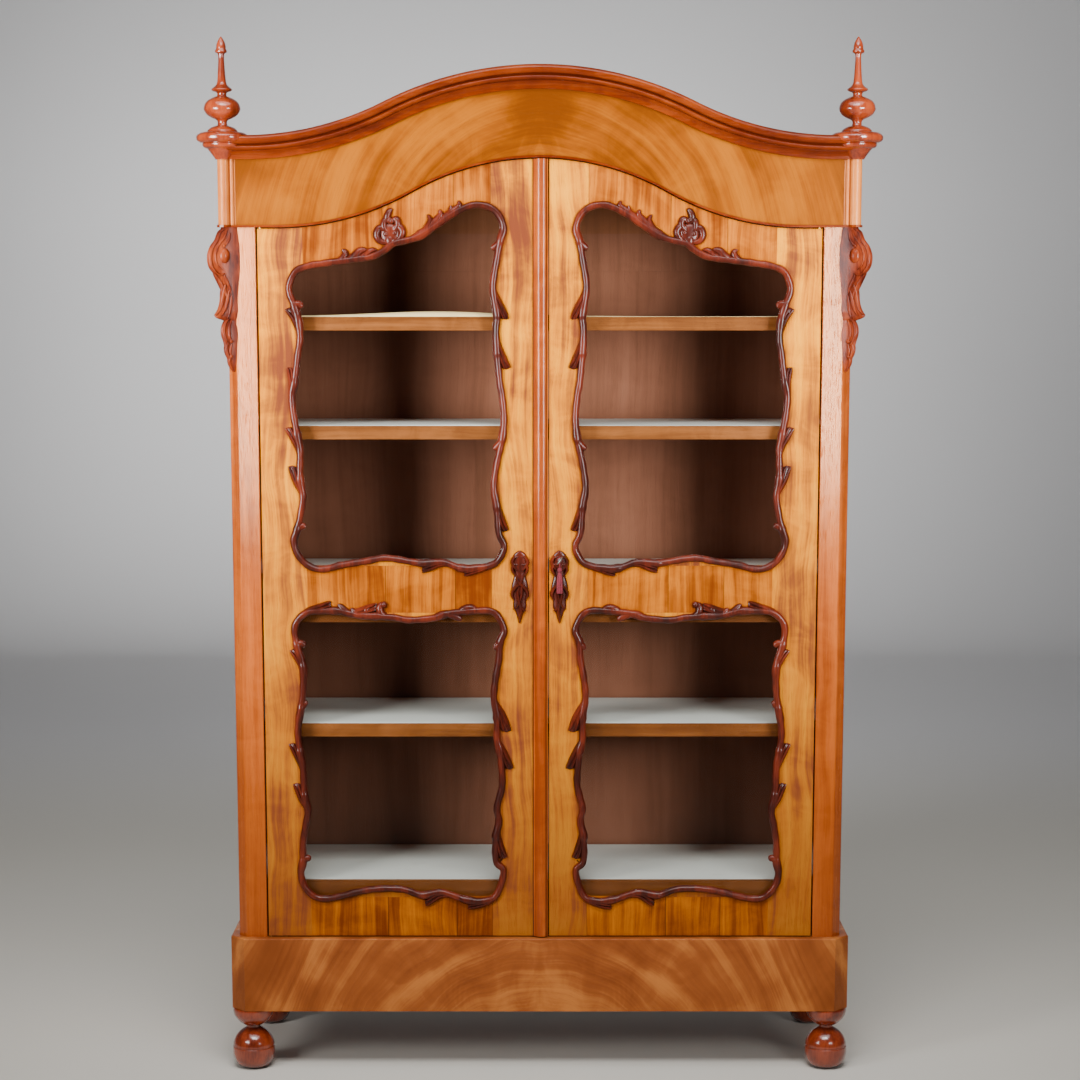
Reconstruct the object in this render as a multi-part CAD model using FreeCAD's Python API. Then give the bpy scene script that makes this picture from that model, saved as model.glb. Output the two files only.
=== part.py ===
"""Two-door glazed display cabinet with an arched cornice, in millimetres.

X runs to the right, Y to the back and Z up. The cabinet faces -Y and stands on z = 0. Both doors turn
on pivots at their outer edges. The right door has a key and lock, the left one two flush bolts.
"""
import FreeCAD, Part
import math
import os

Vector = FreeCAD.Vector

# Carcase
BODY_WIDTH = 1436.0
BODY_DEPTH = 460.0
CORNER_CANT = 20.0
POST_WIDTH = 68.0
POST_DEPTH = 55.0
REAR_POST = 45.0
EDGE_EASE = 1.5
OVERRUN = 5.0

# Plinth and feet
FOOT_HEIGHT = 149.0
FOOT_BALL_RADIUS = 48.0
FOOT_BALL_HEIGHT = 104.0
FOOT_NECK_RADIUS = 17.5
FOOT_BOWL_RADIUS = 46.5
FOOT_BOWL_HEIGHT = 29.0
FOOT_PAD_RADIUS = 14.0
FOOT_GROOVE = 2.0
FOOT_INSET = 48.0
PLINTH_HEIGHT = 178.0
PLINTH_PROUD = 20.0
PLINTH_CANT = 34.0
PLINTH_BOARD = 25.0
PLINTH_RAIL_WIDTH = 90.0
PLINTH_RAIL_THICK = 18.0
PLINTH_NOSE = 4.0
CORNER_BLOCK = 80.0
CORNER_BLOCK_HEIGHT = 60.0

# Heights on the body, all above the floor
POST_TOP = 1992.0
BOTTOM_BOARD_TOP = 458.0
MID_BOARD_TOP = 1190.0
MID_RAIL_BOTTOM = 1080.0
SHELF_TOPS = {"shelf_top": 1790.0, "shelf_upper": 1539.0, "shelf_lower": 837.0}

# Boards, shelves and panels
BOARD_THICK = 22.0
SHELF_THICK = 31.0
SHELF_SETBACK = 8.0
SHELF_CLEARANCE = 1.5
BATTEN_WIDTH = 20.0
BATTEN_HEIGHT = 25.0
PAPER_THICK = 0.6
PAPER_MARGIN = 6.0
SIDE_THICK = 25.0
SIDE_PANEL_THICK = 10.0
SIDE_PANEL_RECESS = 5.0
SIDE_RAIL_HEIGHT = 90.0
SIDE_BOTTOM_HEIGHT = 110.0
BACK_THICK = 22.0
BACK_PANEL_THICK = 8.0
BACK_PANEL_RECESS = 3.0
BACK_RAIL_HEIGHT = 90.0
BACK_MUNTIN_WIDTH = 90.0
TONGUE = 8.0
TONGUE_CLEARANCE = 0.2

# Arched lines: each is flat at the sides, then a hollow arc and a crown arc that meet tangent
ARCH_RISE = 156.5
ARCH_SHOULDER = 48.0
FRIEZE_TURN = 290.0
CORNICE_TURN = 330.0

# Cornice
LEDGE_THICK = 5.0
LEDGE_PROUD = 7.0
LEDGE_EAR_RADIUS = 17.0
LEDGE_INNER = 58.0
FRIEZE_HEIGHT = 152.0
FRIEZE_PROUD = 4.0
FRIEZE_JOINT = 1.0
CORNICE_HEIGHT = 52.0
CORNICE_DEPTH = 38.0
TOP_BOARD_THICK = 18.0
TOP_BOARD_DROP = 6.0
STOP_DROP = 12.0
STOP_RISE = 20.0
STOP_THICK = 18.0
BRACE_THICK = 20.0
BRACE_HEIGHT = 110.0
BRACE_DEPTH = 70.0
BRACE_SPREAD = 260.0

# Corner columns, capitals and finials
COLUMN_OFFSET = 2.5
COLUMN_RADIUS = 13.5
COLUMN_BEAD_RADIUS = 4.8
COLUMN_BEAD_SPACING = 18.5
COLUMN_SIDE = 24.0
CAPITAL_RADIUS = 57.0
CAPITAL_HEIGHT = 72.0
CAPITAL_FOOT_RADIUS = 20.0
CAPITAL_DOME_RADIUS = 33.0
FINIAL_HEIGHT = 199.0
FINIAL_BALL_RADIUS = 41.0
FINIAL_NECK_RADIUS = 11.0
FINIAL_COLLAR_RADIUS = 23.5
FINIAL_STEM_RADIUS = 8.0
FINIAL_TIP_RADIUS = 12.0
FINIAL_TENON_RADIUS = 7.0
FINIAL_TENON_LENGTH = 30.0

# Carved brackets under the ledge, on the canted corners
BRACKET_HEIGHT = 330.0
BRACKET_REACH = 48.0
BRACKET_THICK = 26.0
BRACKET_EYE_RADIUS = 13.0
BRACKET_EYE_PROUD = 5.0

# Doors
DOOR_THICK = 26.0
DOOR_SIDE_GAP = 4.0
DOOR_TOP_GAP = 3.0
DOOR_BOTTOM_GAP = 3.0
DOOR_STOP_CLEARANCE = 1.5
MEETING_EDGE = 19.0
MEETING_GAP = 3.0
HINGE_STILE_WIDTH = 103.0
MEETING_STILE_WIDTH = 131.0
PANE_SIDE_MARGIN = 74.0
PANE_INNER = 88.0
UPPER_PANE_BOTTOM = 1216.0
UPPER_PANE_SHOULDER = 1908.0
UPPER_PANE_CREST = 2048.0
LOWER_PANE_BOTTOM = 424.0
LOWER_PANE_TOP = 1106.0
PANE_CORNER = 34.0
REBATE = 8.0
REBATE_DEPTH = 12.0
GLASS_THICK = 3.0
GLASS_CLEARANCE = 1.0
BEAD_WIDTH = 7.0

# Carved moulding round each pane
MOULDING_WIDTH = 19.0
MOULDING_CREST = 8.0
MOULDING_PROUD = 10.0

# Astragal and escutcheons
ASTRAGAL_WIDTH = 30.0
ASTRAGAL_PROUD = 12.0
ASTRAGAL_FILLET = 5.0
ASTRAGAL_BASE = 3.0
ESCUTCHEON_OFFSET = 46.5
ESCUTCHEON_WIDTH = 41.0
ESCUTCHEON_RISE = 22.0
ESCUTCHEON_HEIGHT = 168.0
ESCUTCHEON_PROUD = 8.0
ESCUTCHEON_EYE_RADIUS = 6.5
ESCUTCHEON_EYE_PROUD = 3.0

# Pivot hinges
PIVOT_INSET = 6.0
PIVOT_PIN_RADIUS = 3.0
PIVOT_PIN_REACH = 4.0
PIVOT_CLEARANCE = 0.05
PIVOT_PLATE_LENGTH = 44.0
PIVOT_PLATE_WIDTH = 16.0
PIVOT_PLATE_THICK = 5.0

# Lock, key and tassel on the right door
LOCK_HEIGHT = 1231.0
LOCK_CASE_WIDTH = 54.0
LOCK_CASE_ABOVE = 32.0
LOCK_CASE_BELOW = 44.0
LOCK_CASE_THICK = 14.0
LOCK_WALL = 1.5
BOLT_LENGTH = 46.0
BOLT_HEIGHT = 12.0
BOLT_THICK = 7.0
BOLT_THROW = 11.0
BOLT_CLEARANCE = 0.3
BOLT_TALON = 16.0
BOLT_TALON_DEPTH = 4.0
KEY_SHANK_RADIUS = 2.8
KEY_PROJECTION = 27.0
KEY_BOW_RADIUS = 11.0
KEY_BOW_THICK = 3.0
KEY_BOW_HOLE = 6.5
KEY_BOW_TURN = 35.0
KEY_BIT_REACH = 12.0
KEY_BIT_THICK = 2.4
KEY_BIT_LENGTH = 7.0
KEYHOLE_CLEARANCE = 0.6
TASSEL_STANDOFF = 10.5
TASSEL_LOOP_WIRE = 1.2
TASSEL_LOOP_CLEARANCE = 0.4
TASSEL_CORD = 20.0
TASSEL_HEAD_RADIUS = 6.0
TASSEL_SKIRT_RADIUS = 9.0
TASSEL_SKIRT = 42.0

# Flush bolts on the left door
FLUSH_BAR_WIDTH = 9.0
FLUSH_BAR_THICK = 6.0
FLUSH_BAR_CLEARANCE = 0.6
FLUSH_BAR_DEPTH = 17.0
FLUSH_TOP_LENGTH = 150.0
FLUSH_BOTTOM_LENGTH = 160.0
FLUSH_THROW = 14.0
FLUSH_REST = 2.0
FLUSH_KNOB_RADIUS = 4.0
FLUSH_KNOB_REACH = 9.0

# Sides of a turned ring and straight cuts of a small curve, which keep the meshes light
TURN_SIDES = 12
CURVE_CUTS = 3
SMALL_CUTS = 2
SPLINE_CUTS = 12

# Places that follow from the sizes above
HALF = BODY_WIDTH / 2
FRONT = CAPITAL_RADIUS - (BODY_DEPTH + CAPITAL_RADIUS) / 2
BACK = FRONT + BODY_DEPTH
PLINTH_TOP = FOOT_HEIGHT + PLINTH_HEIGHT
PLINTH_HALF = HALF + PLINTH_PROUD
PLINTH_FRONT = FRONT - PLINTH_PROUD
POST_INNER = HALF - POST_WIDTH
POST_BACK = FRONT + POST_DEPTH
REAR_POST_FRONT = BACK - REAR_POST
SIDE_INNER = HALF - SIDE_THICK
BACK_INNER = BACK - BACK_THICK
STOP_FACE = FRONT + DOOR_THICK + DOOR_STOP_CLEARANCE
DOOR_OUTER = POST_INNER - DOOR_SIDE_GAP
HINGE_SEAM = DOOR_OUTER - HINGE_STILE_WIDTH
MEETING_SEAM = MEETING_STILE_WIDTH - MEETING_EDGE
PANE_OUTER = DOOR_OUTER - PANE_SIDE_MARGIN
ARCH_START = POST_INNER - ARCH_SHOULDER
DOOR_BOTTOM = PLINTH_TOP + DOOR_BOTTOM_GAP
FRIEZE_BOTTOM = POST_TOP + LEDGE_THICK
CORNICE_BOTTOM = POST_TOP + FRIEZE_HEIGHT
CORNICE_TOP = CORNICE_BOTTOM + CORNICE_HEIGHT
COLUMN_X = HALF + COLUMN_OFFSET
PIVOT_X = DOOR_OUTER - PIVOT_INSET
PIVOT_Y = FRONT + PIVOT_INSET
KEY_X = ESCUTCHEON_OFFSET
ESCUTCHEON_TOP = LOCK_HEIGHT + ESCUTCHEON_RISE


def box(x0, x1, y0, y1, z0, z1):
    """Upright block between two opposite corners, given in either order."""
    low = Vector(min(x0, x1), min(y0, y1), min(z0, z1))
    return Part.makeBox(abs(x1 - x0), abs(y1 - y0), abs(z1 - z0), low)


def closed_face(edges):
    """Planar face inside a closed run of edges."""
    return Part.Face(Part.Wire(Part.__sortEdges__(edges)))


def prism_up(points, z0, z1):
    """Upright prism on a plan outline."""
    corners = [Vector(x, y, z0) for x, y in points]
    return Part.Face(Part.makePolygon(corners + corners[:1])).extrude(Vector(0, 0, z1 - z0))


def mirrored(shape):
    """The same piece on the other side of the middle plane."""
    return shape.mirror(Vector(0, 0, 0), Vector(1, 0, 0))


def rod(x, y, z, radius, length, direction):
    """Round rod from a point along a direction."""
    return Part.makeCylinder(radius, length, Vector(x, y, z), direction)


def ring(radius, height):
    """Corners of a many-sided ring round the upright axis."""
    return [FreeCAD.Rotation(Vector(0, 0, 1), 360 * side / TURN_SIDES).multVec(Vector(radius, 0, height))
            for side in range(TURN_SIDES)]


def drum(x, y, z, radius, length, direction):
    """Many-sided rod from a point along a direction."""
    corners = ring(radius, 0)
    solid = Part.Face(Part.makePolygon(corners + corners[:1])).extrude(Vector(0, 0, length))
    solid.Placement = FreeCAD.Placement(Vector(x, y, z), FreeCAD.Rotation(Vector(0, 0, 1), direction))
    return solid


def flats(start, through, end, cuts):
    """Places along an arc through three places, for the straight cuts that stand for it."""
    return Part.Arc(start, through, end).toShape().discretize(cuts + 1)


def lines(points):
    """Straight edges from place to place."""
    return [Part.LineSegment(a, b).toShape() for a, b in zip(points, points[1:])]


def turned(x, y, z, outline):
    """Turned piece on an upright axis, built of many-sided rings. The outline holds radius and height
    from one end to the other: a pair is a straight cut, two pairs a curve through the first."""
    points = []
    for step in outline:
        if isinstance(step[0], tuple):
            through, end = (Vector(radius, 0, height) for radius, height in step)
            points += flats(points[-1], through, end, CURVE_CUTS)[1:]
        else:
            points.append(Vector(step[0], 0, step[1]))
    rings = [ring(point.x, point.z) for point in points]
    faces = [Part.Face(Part.makePolygon(end + end[:1])) for end in (rings[0], rings[-1])]
    for low, high in zip(rings, rings[1:]):
        for side in range(TURN_SIDES):
            after = (side + 1) % TURN_SIDES
            corners = [low[side], low[after], high[after], high[side], low[side]]
            faces.append(Part.Face(Part.makePolygon(corners)))
    solid = Part.Solid(Part.Shell(faces)).removeSplitter()
    if solid.Volume < 0:
        solid.reverse()
    solid.translate(Vector(x, y, z))
    return solid


def climb(start, end, share, grow, y):
    """A hollow arc and a crown arc, tangent to each other, from one level place to a higher one. They
    meet at the share of the way, and grow moves them outwards along their own normal."""
    run = end[0] - start[0]
    way = math.copysign(1, run)
    angle = 2 * math.atan((end[1] - start[1]) / abs(run))
    hollow = abs(run) * share / math.sin(angle)
    crown = abs(run) * (1 - share) / math.sin(angle)

    def on_hollow(part):
        swing, reach = angle * part, hollow - grow
        return Vector(start[0] + way * reach * math.sin(swing), y,
                      start[1] + hollow - reach * math.cos(swing))

    def on_crown(part):
        swing, reach = angle * part, crown + grow
        return Vector(end[0] - way * reach * math.sin(swing), y, end[1] - crown + reach * math.cos(swing))

    return [Part.Arc(on_hollow(0), on_hollow(0.5), on_hollow(1)).toShape(),
            Part.Arc(on_hollow(1), on_crown(0.5), on_crown(0)).toShape()]


def arch_edges(base, turn, half, y):
    """Edges of an arched line from x = -half to x = half, which climbs to the middle from level ends.
    Turn is the distance from the middle where each side's hollow and crown meet."""
    edges = []
    for side in (-1, 1):
        start, top = (side * ARCH_START, base), (0, base + ARCH_RISE)
        edges.append(Part.LineSegment(Vector(side * half, y, base), Vector(start[0], y, base)).toShape())
        edges += climb(start, top, 1 - turn / ARCH_START, 0, y)
    return edges


def under_arch(bottom, base, turn, half, y0, y1):
    """Board with a level bottom edge and an arched top edge."""
    corners = [Vector(-half, y0, base), Vector(-half, y0, bottom),
               Vector(half, y0, bottom), Vector(half, y0, base)]
    sides = [Part.LineSegment(a, b).toShape() for a, b in zip(corners, corners[1:])]
    return closed_face(arch_edges(base, turn, half, y0) + sides).extrude(Vector(0, y1 - y0, 0))


def arched_strip(low, low_turn, high, high_turn, half, y0, y1):
    """Board between two arched edges."""
    ends = [Part.LineSegment(Vector(side * half, y0, low), Vector(side * half, y0, high)).toShape()
            for side in (-1, 1)]
    edges = arch_edges(low, low_turn, half, y0) + arch_edges(high, high_turn, half, y0) + ends
    return closed_face(edges).extrude(Vector(0, y1 - y0, 0))


def ease_uprights(solid, radius, keep):
    """Plane a narrow flat on the upright edges whose plan place passes the test."""
    edges = [edge for edge in solid.Edges
             if abs(edge.Vertexes[0].X - edge.Vertexes[-1].X) < radius / 10
             and abs(edge.Vertexes[0].Y - edge.Vertexes[-1].Y) < radius / 10
             and keep(edge.Vertexes[0].X, edge.Vertexes[0].Y)]
    return solid.makeChamfer(radius, edges)


def foot(x, y):
    """Turned ball foot: pad, grooved ball, neck and bowl collar."""
    equator = FOOT_BALL_HEIGHT * 0.48
    shoulder = (equator + FOOT_BALL_HEIGHT) / 2
    bowl = FOOT_HEIGHT - FOOT_BOWL_HEIGHT
    rim = FOOT_HEIGHT - FOOT_BOWL_HEIGHT * 0.3
    return turned(x, y, 0, [
        (FOOT_PAD_RADIUS, 0),
        ((FOOT_BALL_RADIUS * 0.84, equator * 0.42), (FOOT_BALL_RADIUS, equator)),
        (FOOT_BALL_RADIUS - FOOT_GROOVE, equator + FOOT_GROOVE),
        ((FOOT_BALL_RADIUS * 0.87, shoulder), (FOOT_NECK_RADIUS, FOOT_BALL_HEIGHT)),
        (FOOT_NECK_RADIUS, bowl),
        ((FOOT_BOWL_RADIUS * 0.8, bowl + FOOT_BOWL_HEIGHT * 0.34), (FOOT_BOWL_RADIUS, rim)),
        (FOOT_BOWL_RADIUS, FOOT_HEIGHT)])


def plinth_ring(inset, cant, z0, z1):
    """Upright ring on the plinth's plan, canted at both front corners, as wide as the inset."""
    def plan(step, corner):
        half = PLINTH_HALF - step
        front = PLINTH_FRONT + step
        return [(-half, BACK - step), (-half, front + corner), (-half + corner, front),
                (half - corner, front), (half, front + corner), (half, BACK - step)]
    inner_cant = max(cant - inset * (2 - math.sqrt(2)), OVERRUN)
    return prism_up(plan(0, cant), z0, z1).cut(prism_up(plan(inset, inner_cant), z0, z1))


def plinth():
    """Front, side and back boards, each with the rail on top that the body stands on, and the corner
    blocks over the feet."""
    rail_bottom = PLINTH_TOP - PLINTH_RAIL_THICK
    boards = plinth_ring(PLINTH_BOARD, PLINTH_CANT, FOOT_HEIGHT, rail_bottom)
    rails = plinth_ring(PLINTH_RAIL_WIDTH, PLINTH_CANT, rail_bottom, PLINTH_TOP)
    nose = [edge for edge in rails.Edges
            if min(vertex.Z for vertex in edge.Vertexes) > PLINTH_TOP - EDGE_EASE
            and (max(vertex.Y for vertex in edge.Vertexes) < PLINTH_FRONT + PLINTH_CANT + EDGE_EASE
                 or min(abs(vertex.X) for vertex in edge.Vertexes) > PLINTH_HALF - EDGE_EASE)
            and all(vertex.Y < PLINTH_FRONT + PLINTH_CANT + EDGE_EASE
                    or abs(vertex.X) > PLINTH_HALF - EDGE_EASE for vertex in edge.Vertexes)]
    rails = rails.makeFillet(PLINTH_NOSE, nose)

    def slice_of(ring, x0, x1, y0, y1):
        return ring.common(box(x0, x1, y0, y1, FOOT_HEIGHT, PLINTH_TOP))

    wide = PLINTH_HALF + OVERRUN
    corner = PLINTH_FRONT + PLINTH_CANT
    rail_front = PLINTH_FRONT + PLINTH_RAIL_WIDTH
    blocks = {}
    for place, block_y in (("front", PLINTH_FRONT + PLINTH_BOARD), ("back", BACK - PLINTH_BOARD)):
        depth = CORNER_BLOCK if place == "front" else -CORNER_BLOCK
        inner = PLINTH_HALF - PLINTH_BOARD
        block = box(inner - CORNER_BLOCK, inner, block_y, block_y + depth,
                    FOOT_HEIGHT, FOOT_HEIGHT + CORNER_BLOCK_HEIGHT).cut(boards)
        blocks[place] = [block, mirrored(block)]
    parts = {
        "plinth_front": [slice_of(boards, -wide, wide, PLINTH_FRONT - OVERRUN, corner),
                         slice_of(rails, -wide, wide, PLINTH_FRONT - OVERRUN, rail_front)]
        + blocks["front"],
        "plinth_back": [slice_of(boards, -wide, wide, BACK - PLINTH_BOARD, BACK),
                        slice_of(rails, -wide, wide, BACK - PLINTH_RAIL_WIDTH, BACK)] + blocks["back"],
    }
    for name, side in (("plinth_side_left", -1), ("plinth_side_right", 1)):
        parts[name] = [slice_of(boards, 0, side * wide, corner, BACK - PLINTH_BOARD),
                       slice_of(rails, 0, side * wide, rail_front, BACK - PLINTH_RAIL_WIDTH)]
    return parts


def corner_post():
    """Right front post with its canted corner."""
    post = prism_up([(POST_INNER, FRONT), (HALF - CORNER_CANT, FRONT), (HALF, FRONT + CORNER_CANT),
                     (HALF, POST_BACK), (POST_INNER, POST_BACK)], PLINTH_TOP, POST_TOP)
    return ease_uprights(post, EDGE_EASE, lambda x, y: y < FRONT + CORNER_CANT + EDGE_EASE)


def let_in(frame, panel_box):
    """Panel with its tongues, and the frame pieces with the grooves that take them."""
    x0, x1, y0, y1, z0, z1 = panel_box
    grow = TONGUE_CLEARANCE
    groove = box(x0 - grow, x1 + grow, y0 - grow, y1 + grow, z0 - grow, z1 + grow)
    return box(*panel_box), [piece.cut(groove) for piece in frame]


def side_frame(post):
    """Right side: rear post, three rails and two panels let into them and into the front post."""
    mid = (MID_BOARD_TOP + MID_RAIL_BOTTOM) / 2
    levels = [(PLINTH_TOP, PLINTH_TOP + SIDE_BOTTOM_HEIGHT),
              (mid - SIDE_RAIL_HEIGHT / 2, mid + SIDE_RAIL_HEIGHT / 2),
              (POST_TOP - SIDE_RAIL_HEIGHT, POST_TOP)]
    rear = box(HALF - REAR_POST, HALF, REAR_POST_FRONT, BACK, PLINTH_TOP, POST_TOP)
    rear = ease_uprights(rear, EDGE_EASE, lambda x, y: x > HALF - EDGE_EASE)
    frame = [post, rear] + [box(SIDE_INNER, HALF, POST_BACK, REAR_POST_FRONT, z0, z1) for z0, z1 in levels]
    outer = HALF - SIDE_PANEL_RECESS
    panels = []
    for (_, low), (high, _) in zip(levels, levels[1:]):
        panel, frame = let_in(frame, (outer - SIDE_PANEL_THICK, outer, POST_BACK - TONGUE,
                                      REAR_POST_FRONT + TONGUE, low - TONGUE, high + TONGUE))
        panels.append(panel)
    return frame[0], frame[1:], panels


def back():
    """Framed back between the rear posts: three rails, a middle muntin and four thin panels."""
    half = HALF - REAR_POST
    mid = (MID_BOARD_TOP + MID_RAIL_BOTTOM) / 2
    levels = [(PLINTH_TOP, PLINTH_TOP + SIDE_BOTTOM_HEIGHT),
              (mid - BACK_RAIL_HEIGHT / 2, mid + BACK_RAIL_HEIGHT / 2),
              (POST_TOP - BACK_RAIL_HEIGHT, POST_TOP)]
    stile = BACK_MUNTIN_WIDTH / 2
    frame = [box(-half, half, BACK_INNER, BACK, z0, z1) for z0, z1 in levels]
    frame += [box(side * half, side * (half - stile), BACK_INNER, BACK, low, high)
              for side in (-1, 1) for (_, low), (high, _) in zip(levels, levels[1:])]
    frame += [box(-stile, stile, BACK_INNER, BACK, low, high)
              for (_, low), (high, _) in zip(levels, levels[1:])]
    inner = BACK_INNER + BACK_PANEL_RECESS
    panels = []
    for (_, low), (high, _) in zip(levels, levels[1:]):
        for side in (-1, 1):
            near, far = sorted((side * (stile - TONGUE), side * (half - stile + TONGUE)))
            panel, frame = let_in(frame, (near, far, inner, inner + BACK_PANEL_THICK,
                                          low - TONGUE, high + TONGUE))
            panels.append(panel)
    return frame, panels


def board(front, clearance, bottom, top):
    """Level board notched round the four posts, which stops short of them by the clearance."""
    side = SIDE_INNER - clearance
    notch = POST_INNER - clearance
    rear_notch = HALF - REAR_POST - clearance
    right = [(notch, front), (notch, POST_BACK + clearance), (side, POST_BACK + clearance),
             (side, REAR_POST_FRONT - clearance), (rear_notch, REAR_POST_FRONT - clearance),
             (rear_notch, BACK_INNER - clearance)]
    return prism_up([(-x, y) for x, y in reversed(right)] + right, bottom, top)


def inside():
    """Fixed boards with the rails under them, loose shelves, their battens and the paper liners."""
    nodes = {}
    for name, top, rail_bottom in (("bottom_board", BOTTOM_BOARD_TOP, PLINTH_TOP),
                                   ("mid_board", MID_BOARD_TOP, MID_RAIL_BOTTOM)):
        under = top - BOARD_THICK
        nodes[name] = [board(STOP_FACE, 0, under, top),
                       box(-POST_INNER, POST_INNER, STOP_FACE, STOP_FACE + BOARD_THICK, rail_bottom, under)]
    front = STOP_FACE + SHELF_SETBACK
    battens = []
    for name, top in SHELF_TOPS.items():
        under = top - SHELF_THICK
        nodes[name] = [board(front, SHELF_CLEARANCE, under, top)]
        batten = box(SIDE_INNER - BATTEN_WIDTH, SIDE_INNER, POST_BACK, REAR_POST_FRONT,
                     under - BATTEN_HEIGHT, under)
        battens += [batten, mirrored(batten)]
    nodes["shelf_battens"] = battens
    half = POST_INNER - PAPER_MARGIN
    tops = [BOTTOM_BOARD_TOP, MID_BOARD_TOP] + list(SHELF_TOPS.values())
    nodes["shelf_papers"] = [box(-half, half, front + PAPER_MARGIN, BACK_INNER - PAPER_MARGIN,
                                 top, top + PAPER_THICK) for top in tops]
    return nodes


def column():
    """Right reeded corner column: a big roll at the corner, a small bead on each face, one core."""
    bottom = FRIEZE_BOTTOM
    height = CORNICE_BOTTOM - bottom
    up = Vector(0, 0, 1)
    bead = COLUMN_X - COLUMN_BEAD_SPACING
    side_bead = FRONT + COLUMN_BEAD_SPACING
    core = prism_up([(HALF - COLUMN_SIDE, FRONT), (COLUMN_X, FRONT), (HALF, FRONT + COLUMN_OFFSET),
                     (HALF, FRONT + COLUMN_SIDE), (HALF - COLUMN_SIDE, FRONT + COLUMN_SIDE)],
                    bottom, CORNICE_BOTTOM)
    rolls = [drum(COLUMN_X, FRONT, bottom, COLUMN_RADIUS, height, up),
             drum(bead, FRONT, bottom, COLUMN_BEAD_RADIUS, height, up),
             drum(HALF, side_bead, bottom, COLUMN_BEAD_RADIUS, height, up)]
    return core.multiFuse(rolls)


def capital():
    """Turned capital: hollow foot, bead, broad disc and dome, cut out where the cornice box is."""
    low, disc, dome = CAPITAL_HEIGHT * 0.34, CAPITAL_HEIGHT * 0.62, CAPITAL_HEIGHT * 0.83
    bead = CAPITAL_RADIUS * 0.74
    shape = turned(COLUMN_X, FRONT, CORNICE_BOTTOM, [
        (CAPITAL_FOOT_RADIUS, 0),
        ((CAPITAL_FOOT_RADIUS * 1.22, low * 0.55), (bead * 0.82, low * 0.9)),
        ((bead * 1.04, low * 1.12), (bead, low * 1.42)),
        ((CAPITAL_RADIUS * 0.95, disc * 0.88), (CAPITAL_RADIUS, disc)),
        ((CAPITAL_RADIUS * 0.96, disc * 1.12), (CAPITAL_RADIUS * 0.8, disc * 1.2)),
        (CAPITAL_DOME_RADIUS * 1.1, dome),
        ((CAPITAL_DOME_RADIUS * 0.96, dome * 1.07), (CAPITAL_DOME_RADIUS * 0.72, dome * 1.12)),
        ((FINIAL_NECK_RADIUS * 1.3, CAPITAL_HEIGHT * 0.96), (FINIAL_NECK_RADIUS, CAPITAL_HEIGHT)),
        (FINIAL_TENON_RADIUS + TONGUE_CLEARANCE, CAPITAL_HEIGHT),
        (FINIAL_TENON_RADIUS + TONGUE_CLEARANCE, CAPITAL_HEIGHT - FINIAL_TENON_LENGTH - TONGUE_CLEARANCE)])
    return shape.cut(box(0, HALF, FRONT - FRIEZE_PROUD, BACK, CORNICE_BOTTOM - OVERRUN, CORNICE_TOP))


def finial():
    """Turned finial: neck, pressed ball with a ridge, flared collar, tapering stem, ring and tip."""
    ball_low, ball_high = FINIAL_HEIGHT * 0.1, FINIAL_HEIGHT * 0.37
    ridge = (ball_low + ball_high) / 2
    collar = FINIAL_HEIGHT * 0.435
    ring = FINIAL_HEIGHT * 0.775
    neck, stem, tip = FINIAL_NECK_RADIUS, FINIAL_STEM_RADIUS, FINIAL_TIP_RADIUS
    ball = FINIAL_BALL_RADIUS
    return turned(COLUMN_X, FRONT, CORNICE_BOTTOM + CAPITAL_HEIGHT, [
        (FINIAL_TENON_RADIUS, -FINIAL_TENON_LENGTH),
        (FINIAL_TENON_RADIUS, 0),
        (neck, 0),
        (neck, ball_low * 0.8),
        (ball * 0.4, ball_low),
        ((ball * 0.8, ball_low + (ridge - ball_low) * 0.42), (ball, ridge)),
        ((ball * 0.82, ridge + (ball_high - ridge) * 0.56), (ball * 0.5, ball_high * 0.97)),
        (neck, ball_high),
        (neck, collar),
        (FINIAL_COLLAR_RADIUS, collar),
        ((FINIAL_COLLAR_RADIUS * 0.68, collar * 1.07), (stem * 1.35, collar * 1.18)),
        (stem, ring * 0.97),
        (tip * 1.1, ring),
        (tip * 1.1, ring * 1.03),
        (tip * 0.62, ring * 1.06),
        ((tip, ring * 1.12), (tip * 0.72, ring * 1.19)),
        (tip * 0.12, FINIAL_HEIGHT)])


def cornice_profile(x, y, z, out):
    """Section of the cornice moulding, seen along its run: hollow, quirked bead, then the big round.
    Out is the way that it projects."""
    deep, tall = CORNICE_DEPTH, CORNICE_HEIGHT

    def at(reach, height):
        return Vector(x, y, z) + out * (deep * reach) + Vector(0, 0, tall * height)

    hollow = flats(at(0.16, 0), at(0.2, 0.2), at(0.46, 0.34), SMALL_CUTS)
    bead = flats(at(0.66, 0.37), at(0.8, 0.49), at(0.68, 0.6), SMALL_CUTS)
    big_round = flats(at(0.86, 0.63), at(1.0, 0.82), at(0.9, 1), CURVE_CUTS)
    return lines([at(0, 0)] + hollow + bead + big_round + [at(0, 1), at(0, 0)])


def cornice(cap):
    """Arched front moulding and the straight side mouldings, coped to the capitals."""
    caps = Part.makeCompound([cap, mirrored(cap)])
    face = FRONT - FRIEZE_PROUD
    path = Part.Wire(Part.__sortEdges__(arch_edges(CORNICE_BOTTOM, CORNICE_TURN, HALF, face)))
    section = Part.Wire(Part.__sortEdges__(cornice_profile(-HALF, face, CORNICE_BOTTOM, Vector(0, -1, 0))))
    front = path.makePipeShell([section], True, False).cut(caps)
    side = closed_face(cornice_profile(HALF, FRONT, CORNICE_BOTTOM, Vector(1, 0, 0)))
    side = side.extrude(Vector(0, BODY_DEPTH, 0)).cut(caps)
    keep = max(front.Solids, key=lambda solid: solid.Volume)
    side = max(side.Solids, key=lambda solid: solid.Volume)
    return keep, side


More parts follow.
